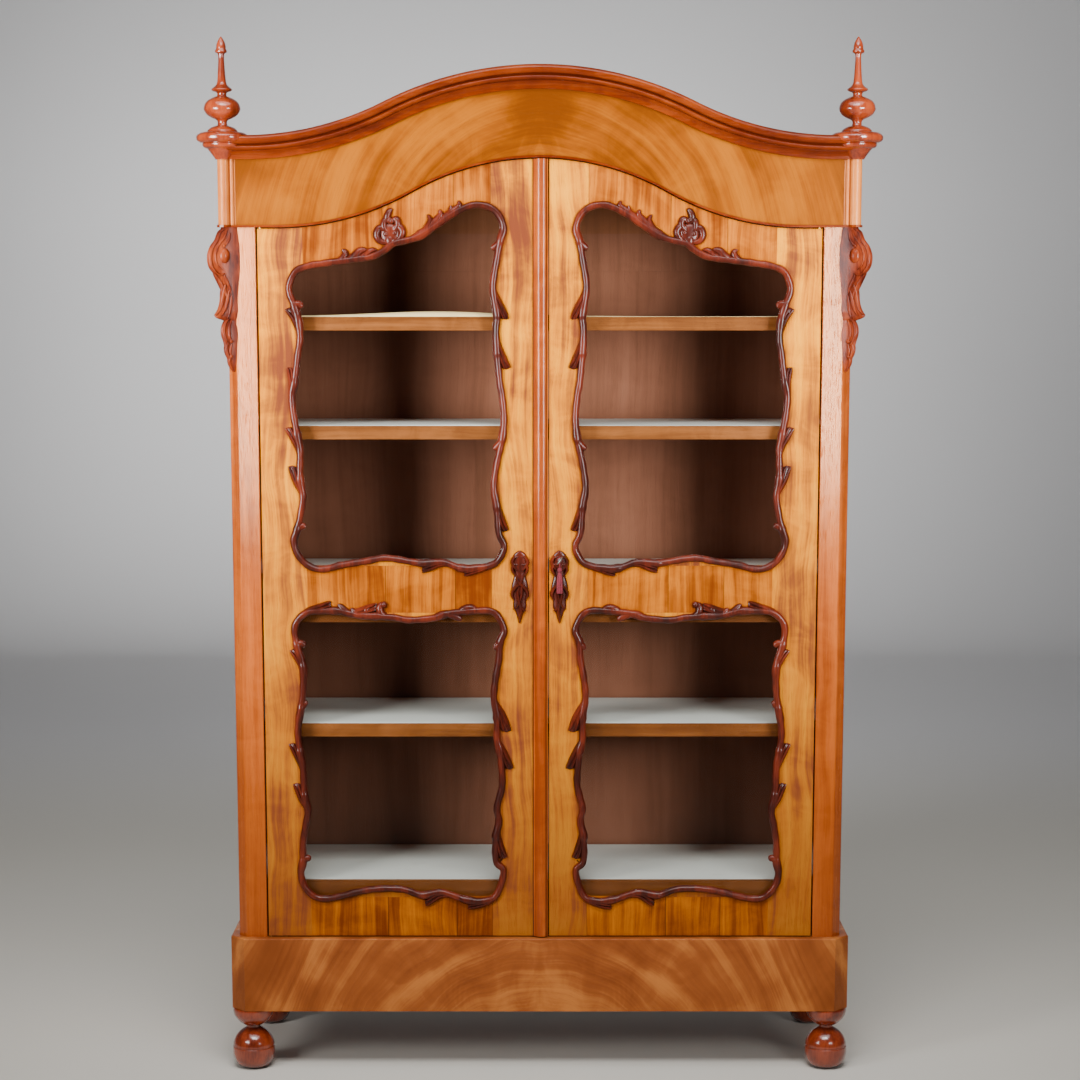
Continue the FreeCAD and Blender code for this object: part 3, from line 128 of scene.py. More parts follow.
def skin(rings, closed=False):
    """Closed skin over a stack of rings: four-sided faces between neighbours, and at each end of a
    stack that isn't a loop a fan of triangles to the ring's middle. It is turned so that its
    volume, the sum over its faces of a corner against the cross product of two others, is above
    0."""
    count, around = rings.shape[:2]
    index = np.arange(count * around).reshape(count, around)
    low, high = (index, np.roll(index, -1, 0)) if closed else (index[:-1], index[1:])
    quads = np.stack((low, np.roll(low, -1, 1), np.roll(high, -1, 1), high), -1).reshape(-1, 4)
    points = rings.reshape(-1, 3)
    triangles = np.vstack((quads[:, :3], quads[:, (0, 2, 3)]))
    fans = np.zeros((0, 3), int)
    if not closed:
        points = np.vstack((points, rings[0].mean(0), rings[-1].mean(0)))
        first, last, middle = index[0], index[-1], np.full(around, count * around)
        fans = np.vstack((np.stack((np.roll(first, -1), first, middle), -1),
                          np.stack((last, np.roll(last, -1), middle + 1), -1)))
        triangles = np.vstack((triangles, fans))
    a, b, c = (points[triangles[:, corner]] - points.mean(0) for corner in range(3))
    if np.einsum("ij,ij->i", a, np.cross(b, c)).sum() < 0:
        quads, fans = quads[:, ::-1], fans[:, ::-1]
    return points, quads, fans


def mirrored(skins):
    """The same skins on the other side of the middle."""
    return [(points * (-1, 1, 1), quads[:, ::-1], fans[:, ::-1]) for points, quads, fans in skins]


def rod(path, wide, high, away, sides=12, closed=False, lean=0.0):
    """Skin of a rod along a path. Its section is an oval: half its width across the path times the
    cosine of an angle, and its height along the away direction times the sine, with the crest
    leaning to one side by a share of the width."""
    along = directions(path, closed)
    away = np.broadcast_to(np.asarray(away, float), path.shape)
    aside = np.cross(along, away)
    aside /= np.linalg.norm(aside, axis=1, keepdims=True)
    angle = angles(sides)
    wide = np.broadcast_to(wide, len(path))[:, None, None]
    high = np.broadcast_to(high, len(path))[:, None, None]
    across = (np.cos(angle) + lean * np.sin(angle) ** 2)[None, :, None]
    outwards = away[:, None] * high * np.sin(angle)[None, :, None]
    return skin(path[:, None] + aside[:, None] * wide * across + outwards, closed)


def turned(place, profile):
    """Skin of a turned form: its profile's radius and height, joined smoothly, carried round an
    upright axis. A profile is a list of runs, and between runs there is a sharp edge."""
    runs = [smooth_line(run, 6) if len(run) > 2 else np.array(run, float) for run in profile]
    radius, height = np.vstack(runs).T[..., None]
    x, y, z = place
    angle = angles(48)
    return skin(grid(x + radius * np.cos(angle), y + radius * np.sin(angle), z + height))


def ball(place, radius, stretch=(1, 1, 1), sides=20):
    """Skin of a ball or an egg: latitude rings whose radius is the sine of the angle from the
    pole."""
    angle = np.linspace(0.06, math.pi - 0.06, sides // 2 + 3)[:, None]
    turn = angles(sides)
    rings = grid(np.sin(angle) * np.cos(turn), np.sin(angle) * np.sin(turn), np.cos(angle))
    return skin(np.asarray(place) + radius * rings * np.asarray(stretch))


def prism(section, low, high):
    """Skin of an upright bar: one section of x and y places carried from a low to a high level."""
    x, y = np.array(section).T
    return skin(np.stack([grid(x, y, level) for level in (low, high)]))


def placed(name, data):
    """Object of a mesh, a light or a camera, in the scene."""
    made = bpy.data.objects.new(name, data)
    bpy.context.scene.collection.objects.link(made)
    return made


def shape(name, points, faces, finish):
    """Object of points and faces, smooth and in one finish."""
    mesh = bpy.data.meshes.new(name)
    mesh.from_pydata(points, [], faces)
    mesh.update()
    mesh.polygons.foreach_set("use_smooth", np.ones(len(faces), bool))
    mesh.materials.append(finish)
    return placed(name, mesh)


def piece(name, skins, body, finish, slot, *nodes, crease=40):
    """Puts in an object made of skins, sharp where two faces meet at more than the crease's
    degrees. It rides on a body and stands for the CAD nodes."""
    points, faces, start = [], [], 0
    for skin_points, quads, fans in skins:
        points.append(skin_points)
        faces += (quads + start).tolist() + (fans + start).tolist()
        start += len(skin_points)
    made = shape(name, np.vstack(points), faces, finish)
    made.data.set_sharp_from_angle(angle=math.radians(crease))
    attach(made, body)
    if nodes:
        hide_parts(*nodes)


# Materials

class Signal:
    """Number or vector that a node's socket gives. Arithmetic on it adds Math nodes."""

    def __init__(self, finish, socket):
        self.finish, self.socket = finish, socket

    def math(self, operation, *others, first=True):
        """Math node of this number and others, this one first or second."""
        values = (self,) + others if first else others + (self,)
        return self.finish.node("Math", {"operation": operation}, dict(enumerate(values)))

    def __add__(self, other):
        return self.math("ADD", other)

    def __sub__(self, other):
        return self.math("SUBTRACT", other)

    def __rsub__(self, other):
        return self.math("SUBTRACT", other, first=False)

    def __mul__(self, other):
        return self.math("MULTIPLY", other)

    __radd__, __rmul__ = __add__, __mul__

    def between(self, low, high):
        """Share of the way from a low to a high value, smooth at both ends, from 0 to 1."""
        return self.finish.node("MapRange", {"interpolation_type": "SMOOTHSTEP"},
                                {"Value": self, "From Min": low, "From Max": high})


class Finish:
    """Material under construction: its nodes and the places that its patterns read."""

    def __init__(self, name):
        self.material = bpy.data.materials.new(name)
        self.material.use_nodes = True
        self.nodes, self.links = self.material.node_tree.nodes, self.material.node_tree.links
        self.nodes.clear()
        self.here = self.node("TexCoord", output="Object")

    def node(self, kind, settings=None, inputs=None, output=0):
        """New node: its settings first, a ramp's stops among them, then its sockets' values or
        links. A colour is how much of red, green and blue light is given back, from 0 to 1."""
        made = self.nodes.new("ShaderNode" + kind)
        for name, value in (settings or {}).items():
            if name == "stops":
                for place, colour in value[1:-1]:
                    made.color_ramp.elements.new(place).color = (*colour, 1)
                for element, (place, colour) in ((0, value[0]), (-1, value[-1])):
                    made.color_ramp.elements[element].position = place
                    made.color_ramp.elements[element].color = (*colour, 1)
            else:
                setattr(made, name, value)
        for name, value in (inputs or {}).items():
            socket = made.inputs[name]
            if isinstance(value, Signal):
                self.links.new(value.socket, socket)
            else:
                socket.default_value = (*value, 1) if socket.type == "RGBA" else value
        return Signal(self, made.outputs[output]) if len(made.outputs) else None

    def parts(self):
        """The three numbers of the place on the object."""
        split = self.node("SeparateXYZ", inputs={0: self.here})
        outputs = split.socket.node.outputs
        return [Signal(self, outputs[axis]) for axis in range(3)]

    def noise(self, x, y, z, detail=3.0, roughness=0.55, distortion=0.0):
        """Smooth random number from 0 to 1, about one swell to a unit of the three numbers."""
        place = self.node("CombineXYZ", inputs={0: x, 1: y, 2: z})
        return self.node("TexNoise", inputs={"Vector": place, "Scale": 1.0, "Detail": detail,
                                             "Roughness": roughness, "Distortion": distortion})

    def ramp(self, share, *stops):
        """Colour of a share between stops."""
        return self.node("ValToRGB", {"stops": stops}, {0: share})

    def mix(self, share, first, second):
        """Colour between two: the first where the share is 0, the second where it is 1."""
        return self.node("Mix", {"data_type": "RGBA"}, {0: share, 6: first, 7: second}, output=2)

    def surface(self, colour, roughness, height=None, depth=0.001, **constants):
        """Principled shader, with relief where a height is given."""
        sockets = {"Base Color": colour, "Roughness": roughness}
        if height is not None:
            sockets["Normal"] = self.node("Bump", inputs={"Strength": 1.0, "Distance": depth,
                                                          "Height": height})
        sockets.update({name.replace("_", " "): value for name, value in constants.items()})
        return self.node("BsdfPrincipled", inputs=sockets)

    def done(self, shader):
        """The finished material."""
        self.node("OutputMaterial", inputs={"Surface": shader})
        return self.material


def wood(name, dark, middle, light, grain="z", figure=0.05, gloss=0.4, arcs=None, stripes=0.5,
         pores=0.3, joints=(), plume=None, mottle=0.0, tilt=0.0, sheen=0.06, painted_shade_reach=0.016, low=0.0,
         spec=0.12, glow=(1.0, 0.8, 0.65)):
    """Polished veneer. Broad bands, narrow bands and fine streaks run along the grain, a slow
    figure bends them, and short dark pores lie over them. With arcs the grain runs in rings round a
    point, the right half mirroring the left one, as in matched flame veneer. Each place among the
    joints and shade lines starts a new leaf of veneer and draws a dark line there: real joints on
    the rails, painted shade lines along the astragal's edges. A plume is a darker feather up the
    middle. A tilt turns the face outwards by that slope. Painted shade darkens the wood next to
    what stands on it, as far as the painted shade reach, and towards the bottom by the low share."""
    finish = Finish(name)
    x, y, z = finish.parts()
    side = x.math("ABSOLUTE")
    if arcs:
        away, up = side - arcs[0], z - arcs[1]
        across = (away * away + up * up).math("SQRT")
        along = up.math("ARCTAN2", away) * 0.35
    else:
        across, along = {"z": (x, z), "x": (z, x), "y": (z, y)}[grain]
    leaf = joint_and_shade_line = 0.0
    for place in joints:
        leaf = x.math("GREATER_THAN", place) + leaf
        joint_and_shade_line = 1 - (x - place).math("ABSOLUTE").between(0.0003, 0.0016) + joint_and_shade_line
    third = y + leaf * 3.7 if joints else y
    sway = finish.noise(across * 2.4, third * 2.4, along * 2.2, 2.0)
    ripple = finish.noise(across * 14, third * 14, along * 6, 2.0)
    across = across + (sway - 0.5) * figure + (ripple - 0.5) * 0.012
    broad = finish.noise(across * 15, third * 15, along * 1.3, 2.0, 0.5, 0.4)
    band = finish.noise(across * 58, third * 58, along * 1.9, 2.0, 0.5, 0.3)
    streak = finish.noise(across * 190, third * 190, along * 5, 3.0, 0.6)
    curl = finish.noise(across * 9, third * 9, along * 13, 3.0, 0.6, 1.2)
    cloud = finish.noise(x * 6, third * 6, z * 6, 2.0, 0.5)
    pore = finish.noise(across * 620, third * 620, along * 26, 2.0).between(0.56, 0.7)
    fine = band * 0.6 + streak * 0.4
    tint = (broad * (1 - stripes) + fine * stripes) * 0.8 + curl * 0.2 + (cloud - 0.5) * mottle
    if joints:
        tint = tint + ((leaf * 0.37 + 0.31).math("FRACT") - 0.5) * 0.1
    if plume:
        feather = finish.noise(side * 50 + z * 20, y, z * 6, 3.0)
        tint = tint - (1 - side.between(0.0, plume)) * feather * 0.22
    colour = finish.ramp(tint.between(0.35, 0.65), (0.0, dark), (0.5, middle), (1.0, light))
    colour = finish.mix(pore * pores, colour, dark)
    # Painted shade: an ambient occlusion node darkens the colour next to what stands on the wood,
    # and the low share darkens it towards the bottom
    near = finish.node("AmbientOcclusion", {"samples": 6}, {"Distance": painted_shade_reach}, output="AO")
    deep = 1 - near.between(0.35, 0.97)
    if low:
        deep = deep.math("MAXIMUM", (1 - z.between(0.1, 1.8)) * low)
    colour = finish.mix(deep * 0.8, colour, dark)
    # Dark lines at the listed places: real joints on the rails, painted shade lines along the
    # astragal's edges
    if joints:
        colour = finish.mix(joint_and_shade_line * 0.7, colour, (0.05, 0.012, 0.003))
    roughness = gloss + (streak - 0.5) * 0.12 + pore * 0.08
    relief = streak * 0.25 + pore * -0.6 + broad * 0.5
    depth = 0.0004
    if tilt:
        relief = relief - side * (tilt / depth)
    return finish.done(finish.surface(colour, roughness, relief, depth, Coat_Weight=sheen,
                                      Coat_Roughness=0.13, Specular_IOR_Level=spec,
                                      Specular_Tint=glow))


def polished(name, dark, middle, light, gloss=0.16, coat=0.6, hollows=0.02, spec=0.5):
    """Glossy carved or turned wood: a slow cloud of red-browns along the height, fine streaks, and
    painted shade that darkens the hollows."""
    finish = Finish(name)
    x, y, z = finish.parts()
    cloud = finish.noise(x * 22, y * 22, z * 9, 3.0, 0.55, 0.6)
    streak = finish.noise(x * 260, y * 260, z * 30, 3.0)
    colour = finish.ramp((cloud * 0.72 + streak * 0.28).between(0.32, 0.68),
                         (0.0, dark), (0.5, middle), (1.0, light))
    # Painted shade: an ambient occlusion node darkens the colour in the hollows
    near = finish.node("AmbientOcclusion", {"samples": 6}, {"Distance": hollows}, output="AO")
    colour = finish.mix(near.between(0.25, 0.85), dark, colour)
    roughness = gloss + streak * 0.1
    return finish.done(finish.surface(colour, roughness, streak * 0.3 + cloud * 0.7, 0.0003,
                                      Coat_Weight=coat, Coat_Roughness=0.1,
                                      Specular_IOR_Level=spec))


def liner(name, pale, worn):
    """Old lining paper: slow waves, fine fibre, a few faint stains, and the line where two
    sheets meet behind the doors' gap."""
    finish = Finish(name)
    x, y, z = finish.parts()
    slow = finish.noise(x * 5, y * 7, z, 3.0)
    fibre = finish.noise(x * 420, y * 420, z * 420, 2.0)
    stain = finish.noise(x * 9, y * 11, z * 2, 4.0, 0.65).between(0.55, 0.8)
    colour = finish.mix(stain * 0.35 + fibre * 0.12, pale, worn)
    seam = (x - 0.0222).math("ABSOLUTE").between(0.0015, 0.0035)
    colour = finish.mix(seam, (0.03, 0.028, 0.025), colour)
    return finish.done(finish.surface(colour, 0.8 + fibre * 0.1, slow * 0.8 + fibre * 0.05, 0.002))


def glazing():
    """Clear window glass: it lets light through unbent, and its gloss grows towards the edge of
    view as Fresnel's law has it."""
    finish = Finish("old_window_glass")
    x, y, z = finish.parts()
    wave = finish.noise(x * 9, y, z * 5, 2.0)
    relief = finish.node("Bump", inputs={"Strength": 0.12, "Distance": 0.001, "Height": wave})
    sheen = finish.node("Fresnel", inputs={"IOR": 1.5, "Normal": relief})
    gloss = finish.node("BsdfPrincipled", inputs={"Base Color": (0.9, 0.93, 0.92), "Metallic": 1.0,
                                                  "Roughness": 0.03, "Normal": relief})
    clear = finish.node("BsdfTransparent", inputs={"Color": (0.96, 0.98, 0.97)})
    return finish.done(finish.node("MixShader", inputs={0: sheen * 0.15, 1: clear, 2: gloss}))


def metal(name, bright, dull, gloss):
    """Old metal: tarnish in soft patches and fine scratches in the polish."""
    finish = Finish(name)
    x, y, z = finish.parts()
    patch = finish.noise(x * 60, y * 60, z * 60, 4.0)
    scratch = finish.noise(x * 900, y * 900, z * 120, 2.0)
    colour = finish.mix(patch.between(0.35, 0.7), bright, dull)
    roughness = gloss + patch * 0.25 + scratch * 0.08
    return finish.done(finish.surface(colour, roughness, scratch, 0.0001, Metallic=1.0))


def yarn(name, light, dark):
    """Twisted yarn: thin threads that run down the tassel, and the twist's slow shade."""
    finish = Finish(name)
    x, y, z = finish.parts()
    thread = finish.noise(x * 1500, y * 1500, z * 60, 2.0)
    twist = finish.noise(x * 200, y * 200, z * 500, 2.0)
    colour = finish.mix((thread * 0.6 + twist * 0.4).between(0.3, 0.7), dark, light)
    return finish.done(finish.surface(colour, 0.75, thread, 0.0006, Sheen_Weight=0.1))


# Where the veneer of the rails is joined: at the stiles, and between its own leaves
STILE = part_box("door_left_meeting_stile")[0].x
RAIL_JOINTS = (-0.36, -0.197, STILE, -STILE, 0.3, 0.43)
# Woods by their darkest, middle and lightest tone. A low share paints shade towards the bottom,
# and every wood gets painted shade next to what stands on it.
DOOR_WOOD = wood("door_veneer", (0.17, 0.04, 0.017), (0.63, 0.19, 0.001), (0.86, 0.32, 0.001),
                 figure=0.1, stripes=0.65, mottle=0.35, low=0.95, sheen=0.0, glow=(1.0, 0.55, 0.08))
RAIL_WOOD = wood("rail_veneer", (0.15, 0.026, 0.003), (0.37, 0.092, 0.004), (0.57, 0.165, 0.006),
                 figure=0.04, stripes=0.7, joints=RAIL_JOINTS, mottle=0.3, low=0.3, sheen=0.0,
                 glow=(1.0, 0.55, 0.08))
FRIEZE_WOOD = wood("frieze_flame_veneer", (0.13, 0.027, 0.001), (0.23, 0.054, 0.001),
                   (0.33, 0.093, 0.002), figure=0.07, arcs=(0.0, 1.9), stripes=0.45, pores=0.15,
                   plume=0.1, mottle=0.4, sheen=0.0, glow=(1.0, 0.6, 0.2))
PLINTH_WOOD = wood("plinth_flame_veneer", (0.2, 0.047, 0.01), (0.3, 0.08, 0.017),
                   (0.5, 0.165, 0.036), figure=0.2, arcs=(0.06, -0.06), stripes=0.35, pores=0.15,
                   mottle=0.3)
POST_WOOD = wood("post_veneer", (0.24, 0.04, 0.004), (0.42, 0.086, 0.009), (0.58, 0.135, 0.018),
                 figure=0.02, gloss=0.2, stripes=0.6, tilt=0.167, sheen=0.0, low=0.7, spec=0.46,
                 glow=(1.0, 0.6, 0.36))
COLUMN_WOOD = wood("column_veneer", (0.36, 0.08, 0.01), (0.54, 0.15, 0.02), (0.66, 0.21, 0.035),
                   figure=0.01, gloss=0.36, stripes=0.6, painted_shade_reach=0.012, spec=0.3)
# The astragal's four line places paint shade lines along both its edges, and its low share paints
# shade towards the bottom
ASTRAGAL_WOOD = wood("astragal_veneer", (0.24, 0.036, 0.003), (0.46, 0.088, 0.006),
                     (0.64, 0.155, 0.014), figure=0.01, gloss=0.3, stripes=0.6, painted_shade_reach=0.008, low=0.5,
                     joints=(-0.0158, -0.0148, 0.0148, 0.0158), sheen=0.3)
SIDE_WOOD = wood("side_veneer", (0.2, 0.045, 0.005), (0.35, 0.09, 0.01), (0.5, 0.145, 0.02),
                 figure=0.06, mottle=0.25)
FRAME_WOOD = wood("cornice_frame_veneer", (0.14, 0.048, 0.021), (0.18, 0.061, 0.027),
                  (0.215, 0.075, 0.035), figure=0.06)
BACK_WOOD = wood("back_pine", (0.15, 0.054, 0.029), (0.185, 0.067, 0.038), (0.215, 0.081, 0.047),
                 figure=0.04, gloss=0.62, pores=0.12, sheen=0.0)
INNER_WOOD = wood("shelf_wood", (0.12, 0.031, 0.006), (0.21, 0.061, 0.013), (0.31, 0.098, 0.025),
                  "x", 0.03, gloss=0.45, stripes=0.55, sheen=0.03)
CORNICE_WOOD = wood("cornice_veneer", (0.07, 0.007, 0.001), (0.135, 0.016, 0.001),
                    (0.22, 0.034, 0.002), "x", 0.02, gloss=0.26, sheen=0.3, painted_shade_reach=0.012)
TURNED_WOOD = polished("turned_polish", (0.1, 0.011, 0.003), (0.22, 0.028, 0.006),
                       (0.33, 0.05, 0.012), gloss=0.14)
BRACKET_WOOD = polished("bracket_polish", (0.04, 0.004, 0.002), (0.15, 0.02, 0.005),
                        (0.27, 0.046, 0.01), gloss=0.26, coat=0.03, hollows=0.018, spec=0.12)
CARVED_WOOD = polished("carved_polish", (0.026, 0.004, 0.002), (0.07, 0.008, 0.003),
                       (0.15, 0.019, 0.006), gloss=0.28, coat=0.15, hollows=0.006, spec=0.2)
PAPER = liner("grey_liner_paper", (0.72, 0.7, 0.665), (0.42, 0.36, 0.29))
CREAM_PAPER = liner("cream_liner_paper", (0.9, 0.64, 0.32), (0.5, 0.33, 0.15))
GLASS = glazing()
BRASS = metal("pivot_brass", (0.6, 0.36, 0.11), (0.2, 0.1, 0.03), 0.3)
STEEL = metal("lock_steel", (0.42, 0.41, 0.4), (0.1, 0.09, 0.085), 0.32)
YARN = yarn("tassel_yarn", (0.27, 0.008, 0.024), (0.05, 0.002, 0.007))


# Carved mouldings round the panes. Each carved line is a row of places in the photograph's pixels.
# An entry with four numbers also gives the tip of a leaf, and one with a fifth has a hook inwards.

UPPER_LINE = [
    (289, 286), (295, 272), (308, 266), (326, 263), (341, 261), (356.5, 259), (372, 256.6),
    (384, 250.5), (393, 243.6), (405.5, 240.6), (418, 236.7), (433, 227.6), (448, 217), (464, 208),
    (477.5, 204.6), (491, 208), (500, 217), (503.5, 229), (500, 241, 491, 248, 1), (496.6, 261),
    (494, 276.5), (493, 287), (494, 298), (497, 316, 508, 319), (496, 330), (497, 353, 510, 368),
    (500, 384), (502, 395), (504, 418), (502, 440, 493, 449, 1), (497, 463), (494, 487),
    (497, 507, 508, 530), (499, 533), (504, 545), (502, 554.5), (494, 564), (479, 567.5),
    (461, 568, 464, 574.5), (442, 562), (421, 563, 422, 571.5), (387, 558), (366, 561), (341, 565),
    (330, 568), (318, 569), (306, 564), (297, 553), (294, 541), (297, 530, 306, 527, 1),
    (300, 518), (303, 496), (300, 478, 289, 466), (300, 450), (297, 434, 286, 428), (293, 411),
    (292, 395), (294.5, 382, 304, 370), (298, 353), (300, 338), (298, 319, 286, 309),
    (294, 305, 303, 307, 1), (290, 295)]
LOWER_LINE = [
    (294.5, 631), (297, 621), (306, 613), (318, 611), (338, 611, 331, 602), (356.5, 615),
    (375, 616, 376, 603.5), (395, 617.6), (410, 620), (433, 618), (446, 614, 462, 620, 1),
    (471, 611), (491, 611), (500, 619), (504, 631), (500, 642, 493, 647.5, 1), (499, 659),
    (496, 676), (494, 697), (497, 717, 511, 731), (497, 738), (500, 752, 513, 768), (502, 772),
    (502, 787), (497, 807.5), (499, 821), (496, 836.5, 507, 857), (496, 861), (503.5, 870),
    (500, 887), (493, 898), (479, 901), (464, 899, 468, 907.5), (441, 892), (422, 895, 426, 905),
    (402.5, 889), (378, 888.6), (356.5, 892), (341, 896), (326, 898.5), (314, 896), (304.5, 885.5),
    (301, 873), (303, 861, 311, 859.5, 1), (303, 846), (305, 829), (308, 810.5),
    (304.5, 795, 294, 784), (303, 768), (300, 752, 290, 744), (298, 735), (299, 720),
    (301, 709, 308, 703, 1), (303, 692), (303, 666.5, 291, 650), (297, 645, 306, 646, 1)]
# Single carved strokes over the panes: places in pixels, the stroke's greatest half width in
# pixels, and whether it ends in an eye
CREST_STROKES = [
    ([(394, 246), (390, 241), (390, 234)], 3.6, 0),
    ([(389, 243), (380, 241), (376.5, 235), (379, 228.5), (385, 229), (386, 234)], 2.4, 1),
    ([(391, 243), (399, 239), (402.5, 232), (399, 226.5), (394.5, 228), (394.5, 233)], 2.4, 1),
    ([(390, 234), (384, 228), (384.5, 221), (389.5, 220)], 2.3, 1),
    ([(391, 233), (397.5, 226), (396.5, 219.5), (391.5, 221)], 2.3, 1),
    ([(390, 224), (387, 218), (389, 212), (392.5, 209)], 2.4, 0),
    ([(334, 263), (342, 259), (345.5, 253), (342, 249.5)], 2.4, 0),
    ([(343, 261.5), (353, 257.5), (360, 251), (367, 249.5)], 2.8, 0),
    ([(354, 259.5), (364, 256), (371, 250.5), (377, 250)], 2.2, 0),
    ([(404, 241), (418, 236), (430, 227.5), (440, 216), (439.5, 209.5)], 3.2, 0),
    ([(418, 234.5), (426, 228), (430, 220), (427.5, 214.5)], 2.0, 0),
    ([(428, 231), (440, 222), (450, 213.5), (459, 206), (458.5, 200.5)], 2.8, 0),
    ([(444, 218), (450, 211), (451, 205.5)], 1.8, 0)]
LOWER_STROKES = [
    ([(352, 614), (345, 611), (338, 604)], 2.6, 0),
    ([(362, 615.5), (355, 613), (351, 608)], 2.4, 0),
    ([(388, 617), (381, 613), (380, 607), (384, 604.5)], 2.6, 1),
    ([(368, 616), (366, 611), (369, 606)], 2.4, 0),
    ([(480, 611), (470, 608), (462, 610), (458, 614)], 2.6, 0)]
# Half width of a moulding's roll in pixels, its height, the height of the strokes, and how many
# points of the line a leaf follows
ROLL_HALF, ROLL_HEIGHT, STROKE_HEIGHT = 4.3, 0.0105, 0.0095
LEAF_POINTS = 34


def loop_line(entries, spacing):
    """Closed line of a moulding and its unit steps outwards: the cross product of the way along it
    and the way out from the doors, turned where it points to the line's middle."""
    line = evenly(smooth_line(seen_at([entry[:2] for entry in entries]), 10, True), spacing, True)
    outward = np.cross(directions(line, True), AWAY)
    return line, outward * np.sign(np.einsum("ij,ij->", outward, line - line.mean(0)))


def carved_line(entries, strokes):
    """Skins of one carved moulding: a roll whose width swells up to each leaf and drops behind it,
    the leaves that part from it outwards, the hooks that turn inwards, and single strokes."""
    line, outward = loop_line(entries, 0.0024)
    along = directions(line, True)
    count = len(line)
    swell = np.full(count, 0.82)
    skins = []
    for entry in entries:
        if len(entry) < 4:
            continue
        base = int(np.argmin(np.linalg.norm(line - seen_at(entry[:2]), axis=1)))
        tip = seen_at(entry[2:4])
        ahead = (np.arange(count) - base + count // 2) % count - count // 2
        swell += 0.2 * np.exp(-(ahead / np.where(ahead <= 0, 11.0, 3.0)) ** 2)
        if len(entry) == 4:
            end = int(np.argmin(np.linalg.norm(line - tip, axis=1)))
            skins += leaf(line, outward, end, np.linalg.norm(tip - line[end]))
        else:
            bend = (line[base] + tip) / 2 + along[base] * 0.005
            hook = [line[(base - 9) % count], line[base], bend, tip]
            skins += stroke(hook, 4.4, 2, STROKE_HEIGHT)
    ripple = 1 + 0.05 * np.sin(np.arange(count) * 0.42)
    half = ROLL_HALF * PIXEL * np.clip(swell, 0.8, 1.15) * ripple
    high = ROLL_HEIGHT * np.clip(swell, 0.85, 1.1)
    skins.append(rod(line + AWAY * 0.001, half, high, AWAY, 16, True, -0.12))
    for points, wide, eye in strokes:
        skins += stroke(seen_at(points), wide * 1.6, eye, STROKE_HEIGHT)
        if wide > 3.3:  # the rosette's middle is filled
            skins.append(ball(seen_at(points[-1]) + AWAY * 0.001, 9.5 * PIXEL, (1, 0.3, 1.1), 24))
    return skins


def leaf(line, outward, end, reach):
    """Skins of one leaf that clings to the carved line: a blade between the line and an edge that
    parts from it evenly as far as the reach and closes there, and two ridges along the blade whose
    ends hook out a little."""
    t = np.linspace(0, 1, LEAF_POINTS)
    places = (end - np.round((LEAF_POINTS - 1) * (1 - t)).astype(int)) % len(line)
    spine, lift = line[places], outward[places]
    off = (reach * t ** 1.15)[:, None]
    close = (1 - t ** 5) ** 0.6 * 0.92 + 0.08
    middle = 0.48 + 0.44 * t[:, None] ** 6
    half = (off[:, 0] * 0.5 + 2.2 * PIXEL) * close
    made = [rod(spine + lift * off * middle, half, 0.0075 * close, AWAY, 12)]
    for share, start, half, high in ((0.86, 0, 3.0, 0.0098), (0.4, 5, 2.5, 0.0112)):
        u = np.linspace(0, 1, LEAF_POINTS - start)
        path = spine[start:] + lift[start:] * (off[start:] * share + (0.0045 * u ** 4)[:, None])
        swell = (0.3 + 0.7 * u ** 0.6) * ((1 - u ** 5) ** 0.6 * 0.9 + 0.1)
        made.append(rod(path, half * PIXEL * swell, high * (0.55 + 0.45 * swell), AWAY, 10))
    return made


def stroke(points, wide, eye, high):
    """Skins of one carved stroke: a leaf that swells and ends in a point, a curl that thickens to
    an eye (1) or a hook with a round end (2). Its width is a share of the greatest one, which rises
    and falls along the stroke."""
    line = evenly(smooth_line(points, 8), 0.0018)
    t = np.linspace(0, 1, len(line))
    if eye == 2:
        share = (0.6 + 0.4 * t) * ((1 - t ** 8) ** 0.5 * 0.9 + 0.1)
    elif eye:
        share = 0.45 + 0.55 * np.sin(math.pi * np.clip(t * 0.75 + 0.05, 0, 1))
        share[-1] = 0.3
    else:
        share = np.clip(t / 0.35, 0, 1) ** 0.6 * (1 - t ** 5) ** 0.6 * 0.9 + 0.1
    rise = high * (0.55 + 0.45 * np.sin(math.pi * t))
    made = [rod(line, wide * PIXEL * share, rise, AWAY, 10)]
    if eye == 1:
        made.append(ball(line[-1] + AWAY * high * 0.35, wide * PIXEL * 0.8, (1, 0.9, 1), 14))
    return made


def ground(entries):
    """Skin of the thin ground that the carving lies on: a flat band from the carved line outwards
    to inside the door's own wood, so that the opening has the carving's waved edge."""
    line, outward = loop_line(entries, 0.0045)
    corners = [(0.0, 0.0004), (0.03, 0.0004), (0.03, 0.0108), (0.0, 0.0108)]
    return skin(np.stack([line + outward * out - AWAY * deep for out, deep in corners], 1), True)


left_ground = [ground(UPPER_LINE), ground(LOWER_LINE)]
piece("left_carving_ground", left_ground, "door_left", DOOR_WOOD, "frame_veneer")
piece("right_carving_ground", mirrored(left_ground), "door_right", DOOR_WOOD, "frame_veneer")
left_carving = carved_line(UPPER_LINE, CREST_STROKES) + carved_line(LOWER_LINE, LOWER_STROKES)
piece("left_carved_moulding", left_carving, "door_left", CARVED_WOOD, "carved_wood",
      "door_left_moulding")
piece("right_carved_moulding", mirrored(left_carving), "door_right", CARVED_WOOD, "carved_wood",
      "door_right_moulding")


# Escutcheons: a domed plate with strokes carved over it, in pixels from the photograph's left one.
# The paired strokes lie on both sides of its middle.

